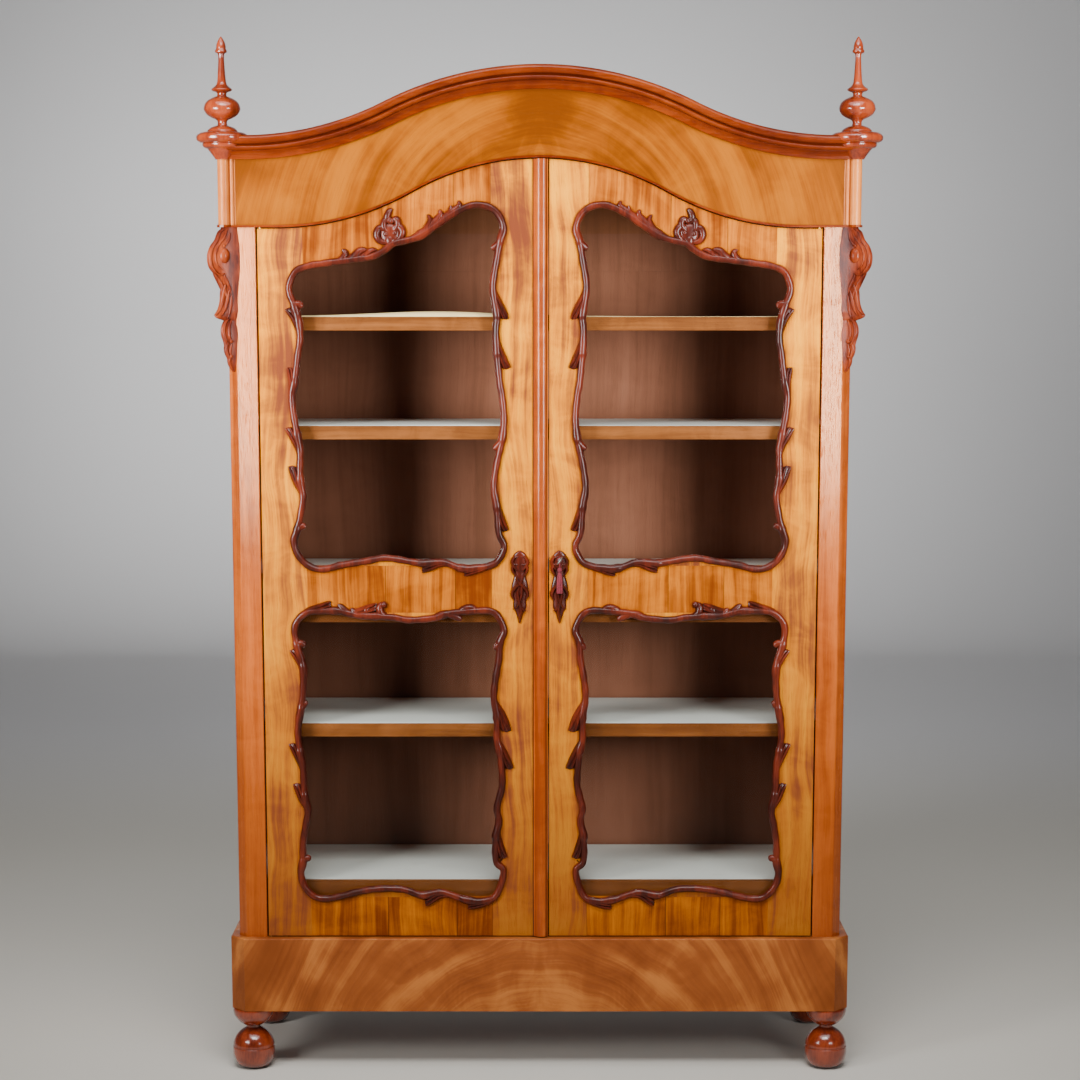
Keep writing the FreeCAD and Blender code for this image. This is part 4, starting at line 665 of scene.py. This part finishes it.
ESCUTCHEON_MIDDLE = 519.8
ESCUTCHEON_HALF_WIDTHS = [
    (550.5, 0.6), (552.5, 4.2), (556, 7.0), (562, 8.6), (568, 7.4), (573, 5.2), (578, 6.4),
    (586, 8.4), (593, 8.2), (600, 6.6), (607, 6.6), (612, 4.2), (618, 2.4), (623, 0.6)]
PAIRED_STROKES = [
    ([(519.8, 572), (515, 568), (512.2, 562), (515, 557), (519, 556.5)], 2.3, 0),
    ([(516, 576), (512.5, 570), (513.6, 564.5), (516.8, 564.5)], 1.9, 1),
    ([(524, 573), (521, 582), (515, 588), (512, 594), (514, 600)], 2.3, 0)]
ESCUTCHEON_STROKES = PAIRED_STROKES + [
    ([(2 * ESCUTCHEON_MIDDLE - x, y) for x, y in points], half, eye)
    for points, half, eye in PAIRED_STROKES] + [
    ([(519.8, 580), (522, 590), (520, 600), (517, 607), (513, 609)], 2.1, 0),
    ([(519.8, 584), (517.6, 593), (519.6, 603), (522.6, 609), (526, 611)], 2.1, 0),
    ([(518, 602), (521, 610), (519.8, 617), (519.8, 622)], 2.1, 0)]


def escutcheon():
    """Skins of the left escutcheon: level rows, each a flat oval whose half width is read from the
    outline, and the strokes over them."""
    rows = evenly(smooth_line(ESCUTCHEON_HALF_WIDTHS, 6), 1.0)
    down, wide = rows.T[..., None]
    middle = seen_at(np.stack(np.broadcast_arrays(ESCUTCHEON_MIDDLE, down), -1))
    angle, dome = angles(16), 0.0055
    made = [skin(middle + grid(wide * PIXEL * np.cos(angle), -np.sin(angle) * dome, 0.0))]
    for points, half, eye in ESCUTCHEON_STROKES:
        made += stroke(seen_at(points), half, eye, ROLL_HEIGHT)
    return made


left_plate = escutcheon()
piece("left_keyhole_plate", left_plate, "door_left", CARVED_WOOD, "carved_wood",
      "door_left_escutcheon")
piece("right_keyhole_plate", mirrored(left_plate), "door_right", CARVED_WOOD, "carved_wood",
      "door_right_escutcheon")


# Turned pieces. The finial and its capital are half widths and places down the photograph, both in
# its pixels; the foot is radii and heights in millimetres.

FOOT_RADIUS = 0.048
FINIAL_PROFILE = [
    [(0.4, 36.6), (2.0, 39), (3.7, 42.5), (4.6, 46), (4.7, 49)],
    [(5.6, 50.4), (5.8, 51.4), (5.5, 52.6)],
    [(3.1, 54), (2.8, 57), (3.0, 63), (3.5, 72), (4.1, 80), (4.9, 84), (6.6, 86.4), (9.4, 88.6),
     (10.3, 90)],
    [(8.6, 91.4), (5.3, 92.6), (4.5, 94.4), (4.7, 96.2)],
    [(7.2, 97), (12.6, 99.8), (15.7, 102.6), (17.2, 106), (17.8, 109.3)],
    [(17.2, 111.2), (14.8, 114.8), (10.4, 117.8), (6.4, 119.6)],
    [(4.9, 120.8), (4.4, 123), (4.9, 125.4)],
    [(8, 126.4), (11.5, 128), (14.3, 130.4), (14.9, 132.2)]]
CAPITAL_PROFILE = [
    [(4, 131), (16.5, 132.3)],
    [(21.8, 133.2), (24.7, 135.4), (25.5, 138), (24.6, 141), (21.6, 143)],
    [(19.3, 143.4), (19.7, 145.2), (18.4, 147.6), (15.6, 148.8)],
    [(14.6, 149.4), (12.6, 152), (10.4, 155), (8.4, 158), (7.4, 159.6)]]
FOOT_PROFILE = [
    [(12, 0.2), (25, 1.2), (38, 7), (46.5, 20), (50, 34), (50.4, 45), (50, 51)],
    [(48.4, 52.4), (48.4, 53.6)],
    [(49.4, 55), (48.4, 62), (45, 71.5), (39.5, 80.5), (32, 88.5), (23, 95), (18, 98.4)],
    [(16.5, 100), (16.5, 104)],
    [(21, 105.4), (28, 109), (37, 117), (44.5, 127), (47.8, 137), (48.2, 144), (47.2, 148.8)]]


def measured(profile):
    """A profile in the photograph's pixels as radii and heights in metres, lowest first."""
    made = []
    for run in profile[::-1]:
        radius, down = np.array(run[::-1]).T
        height = seen_at(np.column_stack((down * 0, down)))[:, 2]
        made.append(np.column_stack((radius * PIXEL, height)))
    return made


def both(made):
    """Skins and their mirror images."""
    return made + mirrored(made)


for node, profile in (("finials", FINIAL_PROFILE), ("capitals", CAPITAL_PROFILE)):
    form = turned((AXIS, FRONT, 0), measured(profile))
    piece("turned_" + node, both([form]), "carcase", TURNED_WOOD, "turned_wood", node)
for node in ("feet_front", "feet_back"):
    low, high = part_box(node)
    foot = turned((high.x - FOOT_RADIUS, (low.y + high.y) / 2, 0),
                  [np.array(run) / 1000 for run in FOOT_PROFILE])
    piece("turned_" + node, both([foot]), "carcase", TURNED_WOOD, "turned_wood", node)


def reeds():
    """Skins of the right reeded column: its core, the big roll at the corner and a bead on each
    face, each an upright bar whose round section is a circle."""
    side, roll, bead, spacing, offset = 0.024, 0.0135, 0.0048, 0.0185, 0.0025
    circle = np.column_stack((np.cos(angles(40)), np.sin(angles(40))))
    core = [(HALF - side, FRONT), (AXIS, FRONT), (HALF, FRONT + offset), (HALF, FRONT + side),
            (HALF - side, FRONT + side)]
    bars = [core, circle * roll + (AXIS, FRONT), circle * bead + (AXIS - spacing, FRONT),
            circle * bead + (HALF, FRONT + spacing)]
    return [prism(bar, LEDGE, CORNICE_LOW) for bar in bars]


piece("reeded_columns", both(reeds()), "carcase", COLUMN_WOOD, "turned_wood", "columns", crease=30)


# Cornice: section of reach and height in millimetres, hollow, bead and big round. Its arch is level
# over the columns as far as the shoulder, and turns from hollow to crown at the turn.

CORNICE_SECTION = np.vstack([smooth_line(run, 6) / 1000 for run in (
    [(0, 0), (6, 0), (7, 1)], [(7, 1), (8.5, 9), (17, 17.5)],
    [(17, 19), (25, 19.6), (29.5, 25), (26, 30.5), (23, 31.5)],
    [(24, 33), (33, 33.8), (38, 42), (36.6, 48.5), (32, 52)], [(32, 52), (16, 52), (0, 52)])])
CORNICE_SHOULDER, CORNICE_TURN = 0.048, 0.33


def arch():
    """Arched line from side to side: a level run, a hollow arc and a crown arc on each side. The
    two arcs have one turning angle, twice the arctangent of the rise over the run, and meet at the
    turn."""
    start, rise = HALF - CORNICE_SHOULDER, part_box("cornice_front")[1].z - CORNICE_HIGH
    angle = 2 * math.atan(rise / start)
    hollow, crown = (start - CORNICE_TURN) / math.sin(angle), CORNICE_TURN / math.sin(angle)
    swing = np.linspace(0, angle, 28)
    back = swing[-2::-1]
    x = np.concatenate(((-HALF,), -start + hollow * np.sin(swing), -crown * np.sin(back)))
    z = np.concatenate(((0,), hollow * (1 - np.cos(swing)), rise - crown * (1 - np.cos(back))))
    return np.concatenate((x, -x[-2::-1])), np.concatenate((z, z[-2::-1]))


def front_cornice():
    """Skin of the arched cornice: its section at every place of the arch, its heights laid along
    the arch's own normal."""
    x, z = arch()
    path = grid(x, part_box("frieze")[0].y, CORNICE_LOW + z)
    normal = np.cross(directions(path), AWAY)
    normal *= np.sign(normal[:, 2:3])
    reach, height = CORNICE_SECTION.T
    return skin(path[:, None] + normal[:, None] * height[:, None] + AWAY * reach[:, None])


def side_cornice():
    """Skin of the right side cornice: the same section carried straight back."""
    reach, height = CORNICE_SECTION.T
    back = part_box("cornice_sides")[1].y
    return skin(np.stack([grid(HALF + reach, y, CORNICE_LOW + height) for y in (FRONT, back)]))


piece("front_cornice", [front_cornice()], "carcase", CORNICE_WOOD, "cornice_wood", "cornice_front")
piece("side_cornices", both([side_cornice()]), "carcase", CORNICE_WOOD, "cornice_wood",
      "cornice_sides")


# Brackets on the canted corners: how far they stand out and how thick they are on each side of
# their middle at each drop below the ledge, in millimetres, and the shares of both that are kept

BRACKET_OUTLINE = [(28, 15, 0), (37, 16, 14), (44, 17, 32), (57, 17.5, 47), (66, 17.5, 66),
                   (65, 17.5, 84), (56, 17, 100), (45, 16, 117), (37, 15, 133), (33, 14, 148),
                   (31, 13, 164), (34, 13, 178), (42, 13, 189), (52, 11, 200), (43, 10, 206),
                   (27, 9, 211), (26, 9.5, 217), (31, 11.5, 233), (32, 12, 247), (28, 11, 263),
                   (24, 10, 280), (20, 8.5, 296), (14, 6.5, 312), (5, 3, 327)]
REACH_SHARE, THICKNESS_SHARE = 0.88, 0.72
BRACKET_PLACE = (HALF - 0.013, FRONT + 0.003, 0)
BRACKET_TURN = math.radians(30)
# Strokes on its cheeks: places of reach and drop, greatest half width, height and eye
BRACKET_STROKES = [
    ([(22, 3), (34, 12), (42, 30), (55, 46), (62, 66), (60, 86), (50, 100), (38, 108), (26, 104)],
     5.2, 4.6, 0),
    ([(16, 6), (24, 22), (36, 36), (46, 50), (50, 68), (45, 86), (34, 96)], 3.6, 3.4, 0),
    ([(10, 12), (12, 26), (20, 38), (26, 42)], 3.4, 3.2, 1),
    ([(52, 104), (40, 118), (30, 134), (22, 150), (20, 166)], 4.6, 3.8, 0),
    ([(28, 106), (20, 122), (12, 138), (9, 152)], 4.4, 4.2, 0),
    ([(24, 128), (27, 148), (30, 168), (38, 186), (51, 199)], 5.6, 4.2, 0),
    ([(14, 140), (18, 162), (25, 184), (36, 200)], 4.6, 4.4, 0),
    ([(8, 152), (9, 172), (13, 192), (20, 206)], 4.2, 3.6, 0),
    ([(14, 206), (24, 218), (28, 236), (23, 256), (14, 268)], 5.4, 3.8, 0),
    ([(8, 210), (14, 226), (15, 244), (10, 258)], 4.0, 4.0, 1),
    ([(20, 262), (21, 276), (16, 292), (8, 300)], 4.6, 3.4, 0),
    ([(9, 264), (12, 280), (10, 292)], 3.4, 3.4, 1),
    ([(12, 292), (13, 304), (9, 316), (4, 324)], 3.6, 2.8, 0)]


def bracket():
    """Skins of the right bracket, made facing the right and then turned to the canted corner: level
    rows, each half an oval whose reach and thickness are read from the outline, a pearl on each
    cheek, and carved leaves that lie on the oval. A leaf's width is a share of its greatest one
    that rises and falls as a sine along it."""
    top, angle = LEDGE - 0.005, angles(20)
    rows = evenly(smooth_line(BRACKET_OUTLINE, 6), 2.4) / 1000 * (REACH_SHARE, THICKNESS_SHARE, 1)
    reaches, halves, drops = rows.T
    out = np.maximum(np.cos(angle), -0.25)
    made = [skin(grid(reaches[:, None] * np.abs(out) ** 0.8 * np.sign(out),
                      halves[:, None] * np.sin(angle), top - drops[:, None]))]
    for side in (-1, 1):
        for points, wide, high, eye in BRACKET_STROKES:
            reach, drop = np.array(points).T / 1000 * ((REACH_SHARE,), (1,))
            share = reach / np.interp(drop, drops, reaches)
            deep = np.interp(drop, drops, halves) * np.sqrt(np.clip(1 - share ** 2, 0.05, 1))
            line = evenly(smooth_line(grid(reach, side * deep * 0.95, top - drop), 8), 0.0018)
            t = np.linspace(0, 1, len(line))
            if eye:
                swell = 0.35 + 0.65 * np.sin(math.pi * (0.15 + 0.7 * t))
                end = line[-1] + (0, side * 0.002, 0)
                made.append(ball(end, wide * 1.2 / 1000, (1, 0.8, 1), 14))
            else:
                swell = np.sin(math.pi * t ** 0.8) ** 0.7
            half = wide * (swell * 0.94 + 0.06) / 1000
            made.append(rod(line, half, high / 1000, (0, side, 0), 12))
        made.append(ball((0.022, side * 0.0085, top - 0.064), 0.0145, (0.95, 0.7, 1.25), 24))
    cosine, sine = math.cos(BRACKET_TURN), math.sin(BRACKET_TURN)
    matrix = np.array(((cosine, -sine, 0), (sine, cosine, 0), (0, 0, 1)))
    return [(points @ matrix + BRACKET_PLACE, quads, fans) for points, quads, fans in made]


piece("carved_brackets", both(bracket()), "carcase", BRACKET_WOOD, "turned_wood", "brackets")


# Lining papers: sheets that lie on the boards and lift a little in slow waves

def paper(board_top, thick, lifts, middle, reach):
    """Skin of one liner: a grid whose top and bottom share one wave. The wave is a slow sine and a
    swell, the exponential of minus the squared distance from its middle. Both rise from the front
    edge over 14 mm as a square root, then fall to nothing at the back as a square."""
    edge = 0.014
    low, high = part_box("shelf_papers")
    x = np.linspace(low.x, high.x, 160)[:, None]
    way = np.linspace(0, 1, 26)[None, :] ** 2
    y = low.y + (high.y - low.y) * way
    near = (1 - way) ** 2 * np.clip((y - low.y) / edge, 0, 1) ** 0.5
    wave = lifts[0] * (1 + np.sin(x * 9.3 + middle * 20)) / 2
    lift = (wave + lifts[1] * np.exp(-((x - middle) / reach) ** 2)) * near
    top = grid(x, y, board_top + lift + thick)
    bottom = grid(x, y, board_top + lift * 0.96 + 0.0001)
    return skin(np.concatenate((top, bottom[:, ::-1]), 1))


# Lifts of the slow wave and of the swell, the swell's middle, and its reach to each side
LIFTS = {"bottom_board": (0.001, 0.0, 0.4, 0.3), "mid_board": (0.001, 0.001, 0.2, 0.2),
         "shelf_lower": (0.001, 0.001, -0.3, 0.2), "shelf_upper": (0.0014, 0.002, -0.2, 0.3)}
grey_liners = [paper(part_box(name)[1].z, 0.0006, lift[:2], *lift[2:])
               for name, lift in LIFTS.items()]
cream_liner = paper(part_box("shelf_top")[1].z, 0.0007, (0.0016, 0.0125), -0.25, 0.2)
piece("grey_liners", grey_liners, "carcase", PAPER, "liner_paper", "shelf_papers")
piece("cream_liner", [cream_liner], "carcase", CREAM_PAPER, "liner_paper", "shelf_papers")


# Key and tassel

def key_bow():
    """Skins of the key: shank, collar and bit, and a bow that is a round ring turned a little out
    of the upright, its places the cosine and the sine of an angle."""
    x, z = KEYHOLE
    up = (0, 0, 1)
    shank, bow, wire, tilt = 0.0028, 0.0088, 0.0019, math.radians(35)
    tip, inner = FRONT - 0.027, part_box("key")[1].y
    made = [rod(evenly(np.array(((x, tip, z), (x, inner, z))), 0.002), shank, shank, up, 24)]
    rise = bow * np.cos(angles(36))
    ring = grid(x + rise * math.sin(tilt), tip - 0.011 + shank + bow * np.sin(angles(36)),
                z + rise * math.cos(tilt))
    made.append(rod(ring, wire, wire, (math.cos(tilt), 0, -math.sin(tilt)), 12, True))
    collar = evenly(np.array(((x, tip + 0.001, z), (x, tip + 0.005, z))), 0.0008)
    swell = np.array((0.0034, 0.0042, 0.0042, 0.0034, 0.0042, 0.0034))[:len(collar)]
    made.append(rod(collar, swell, swell, up, 24))
    bit = np.array(((x, inner - 0.0068, z - 0.0068), (x, inner - 0.0002, z - 0.0068)))
    made.append(rod(bit, 0.0012, 0.0052, up, 8))
    return made


piece("door_key", key_bow(), "key", STEEL, "lock_steel", "key")


def tassel():
    """Skins of the tassel: its loop round the shank, cord, knot and a fluted skirt, whose radius
    rises and falls with the threads round it."""
    (x, z), y = KEYHOLE, FRONT - 0.0125
    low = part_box("key_tassel")[0].z
    loop, threads = 0.0048, 12
    ring = grid(x + loop * np.cos(angles(30)), y, z + loop * np.sin(angles(30)))
    made = [rod(ring, 0.0011, 0.0011, AWAY, 10, True)]
    cord = np.array(((x, y, z - loop), (x + 0.0006, y, z - 0.012), (x, y, z - 0.020)))
    made.append(rod(evenly(cord, 0.0015), 0.0012, 0.0012, AWAY, 10))
    drop = np.array((0.018, 0.0195, 0.023, 0.0275, 0.030, 0.0315, 0.040, 0.055, 0.068, z - low))
    radius = np.array((0.0014, 0.004, 0.0056, 0.005, 0.0036, 0.0044, 0.0058, 0.0064, 0.0068,
                       0.0062))
    angle = angles(48)
    below_knot = np.clip((np.arange(len(drop)) - 4) / 3, 0, 1)[:, None]
    out = radius[:, None] * (1 + 0.09 * np.sin(angle * threads) * below_knot)
    made.append(skin(grid(x + out * np.cos(angle), y + out * np.sin(angle), z - drop[:, None])))
    return made


piece("crimson_tassel", tassel(), "door_right", YARN, "tassel_yarn", "key_tassel")


# Better materials for the nodes that stay

FINISHES = {
    DOOR_WOOD: ["door_left_hinge_stile", "door_left_meeting_stile", "door_right_hinge_stile",
                "door_right_meeting_stile"],
    RAIL_WOOD: ["door_left_rails", "door_right_rails"],
    FRIEZE_WOOD: ["frieze"],
    PLINTH_WOOD: ["plinth_front", "plinth_side_left", "plinth_side_right"],
    POST_WOOD: ["corner_post_left", "corner_post_right"],
    SIDE_WOOD: ["side_frame_left", "side_frame_right", "side_panels_left", "side_panels_right"],
    FRAME_WOOD: ["cornice_frame"],
    BACK_WOOD: ["back_frame", "back_panels", "plinth_back", "top_board"],
    INNER_WOOD: ["bottom_board", "mid_board", "shelf_lower", "shelf_upper", "shelf_top",
                 "shelf_battens", "door_left_glazing_beads", "door_right_glazing_beads"],
    CORNICE_WOOD: ["cornice_base"],
    ASTRAGAL_WOOD: ["door_left_astragal"],
    GLASS: ["door_left_glass", "door_right_glass"],
    BRASS: ["pivot_plates", "door_left_pivots", "door_right_pivots", "flush_bolt_top",
            "flush_bolt_bottom"],
    STEEL: ["lock_case", "lock_bolt"],
}
for finish, names in FINISHES.items():
    for name in names:
        for material_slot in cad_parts[name].material_slots:
            material_slot.material = finish


# Studio: pale floor that rises into a backdrop, a soft box on each side, a wide light above, a
# weaker one from high in front, one on the backdrop, and the camera

def studio():
    """Floor and backdrop in one sheet: level, then a quarter circle, then upright."""
    near, back, height, half, bend = -12.0, 9.5, 12.0, 14.0, 2.5
    angle = np.linspace(0, math.pi / 2, 24)
    y = np.concatenate(((near,), back - bend + bend * np.sin(angle), (back,)))
    z = np.concatenate(((0.0,), bend - bend * np.cos(angle), (height,)))
    x = np.linspace(-half, half, 13)
    points = grid(x, y[:, None], z[:, None]).reshape(-1, 3)
    index = np.arange(len(points)).reshape(len(y), len(x))
    quads = np.stack((index[:-1, :-1], index[:-1, 1:], index[1:, 1:], index[1:, :-1]), -1)
    finish = Finish("studio_paper")
    x, y, z = finish.parts()
    cloud = finish.noise(x * 0.5, y * 0.5, z * 0.5, 2.0)
    tint = finish.mix(z.between(0.0, 1.2), (0.72, 0.69, 0.615), (0.72, 0.715, 0.73))
    tint = finish.mix(y.between(2.2, 5.0), tint, (0.93, 0.92, 0.92))
    tint = finish.mix(cloud * 0.12, tint, (0.58, 0.57, 0.56))
    paper_finish = finish.done(finish.surface(tint, 0.75))
    shape("studio_floor", points, quads.reshape(-1, 4).tolist(), paper_finish)


def soft_box(name, place, target, size, power, spread=180):
    """Rectangular soft light that faces a target. Its spread in degrees is how wide its beam
    opens."""
    light = bpy.data.lights.new(name, "AREA")
    light.shape = "RECTANGLE"
    light.size, light.size_y = size
    light.energy = power
    light.spread = math.radians(spread)
    made = placed(name, light)
    way = np.array(target) - np.array(place)
    flat = math.hypot(way[0], way[1])
    made.location = place
    made.rotation_euler = (math.pi / 2 + math.atan2(way[2], flat), 0, math.atan2(-way[0], way[1]))
    made.visible_camera = False


studio()
soft_box("left_soft_box", (-2.04, FRONT - 1.83, 1.9), (-0.95, 0, 2.1), (0.95, 1.45), 60, 92)
soft_box("right_soft_box", (1.84, FRONT - 2.45, 1.95), (0.95, 0, 2.25), (0.92, 1.45), 48, 80)
soft_box("overhead_light", (0, -1.9, 4.6), (0, -0.9, 0), (4.5, 2.0), 88)
soft_box("front_fill", (0, FRONT - 2.6, 4.2), (0, FRONT - 0.3, 0.0), (2.4, 1.0), 34, 90)
soft_box("backdrop_light", (-0.9, 7.4, 2.3), (-0.9, 9.5, 1.9), (5.0, 0.8), 50)

world = bpy.data.worlds.new("studio_air")
bpy.context.scene.world = world
world.use_nodes = True
world.node_tree.nodes["Background"].inputs["Color"].default_value = (0.62, 0.63, 0.66, 1)
world.node_tree.nodes["Background"].inputs["Strength"].default_value = 0.11

lens = bpy.data.cameras.new("photo_camera")
lens.sensor_width = 36.0
lens.lens = LENS / FRAME_PIXELS * lens.sensor_width
lens.shift_x = 0.5 - VIEW_MIDDLE[0] / FRAME_PIXELS
lens.shift_y = VIEW_MIDDLE[1] / FRAME_PIXELS - 0.5
lens.clip_end = 100
camera = placed("photo_camera", lens)
camera.location = EYE
camera.rotation_euler = (math.pi / 2 - TILT, 0, 0)
bpy.context.scene.camera = camera
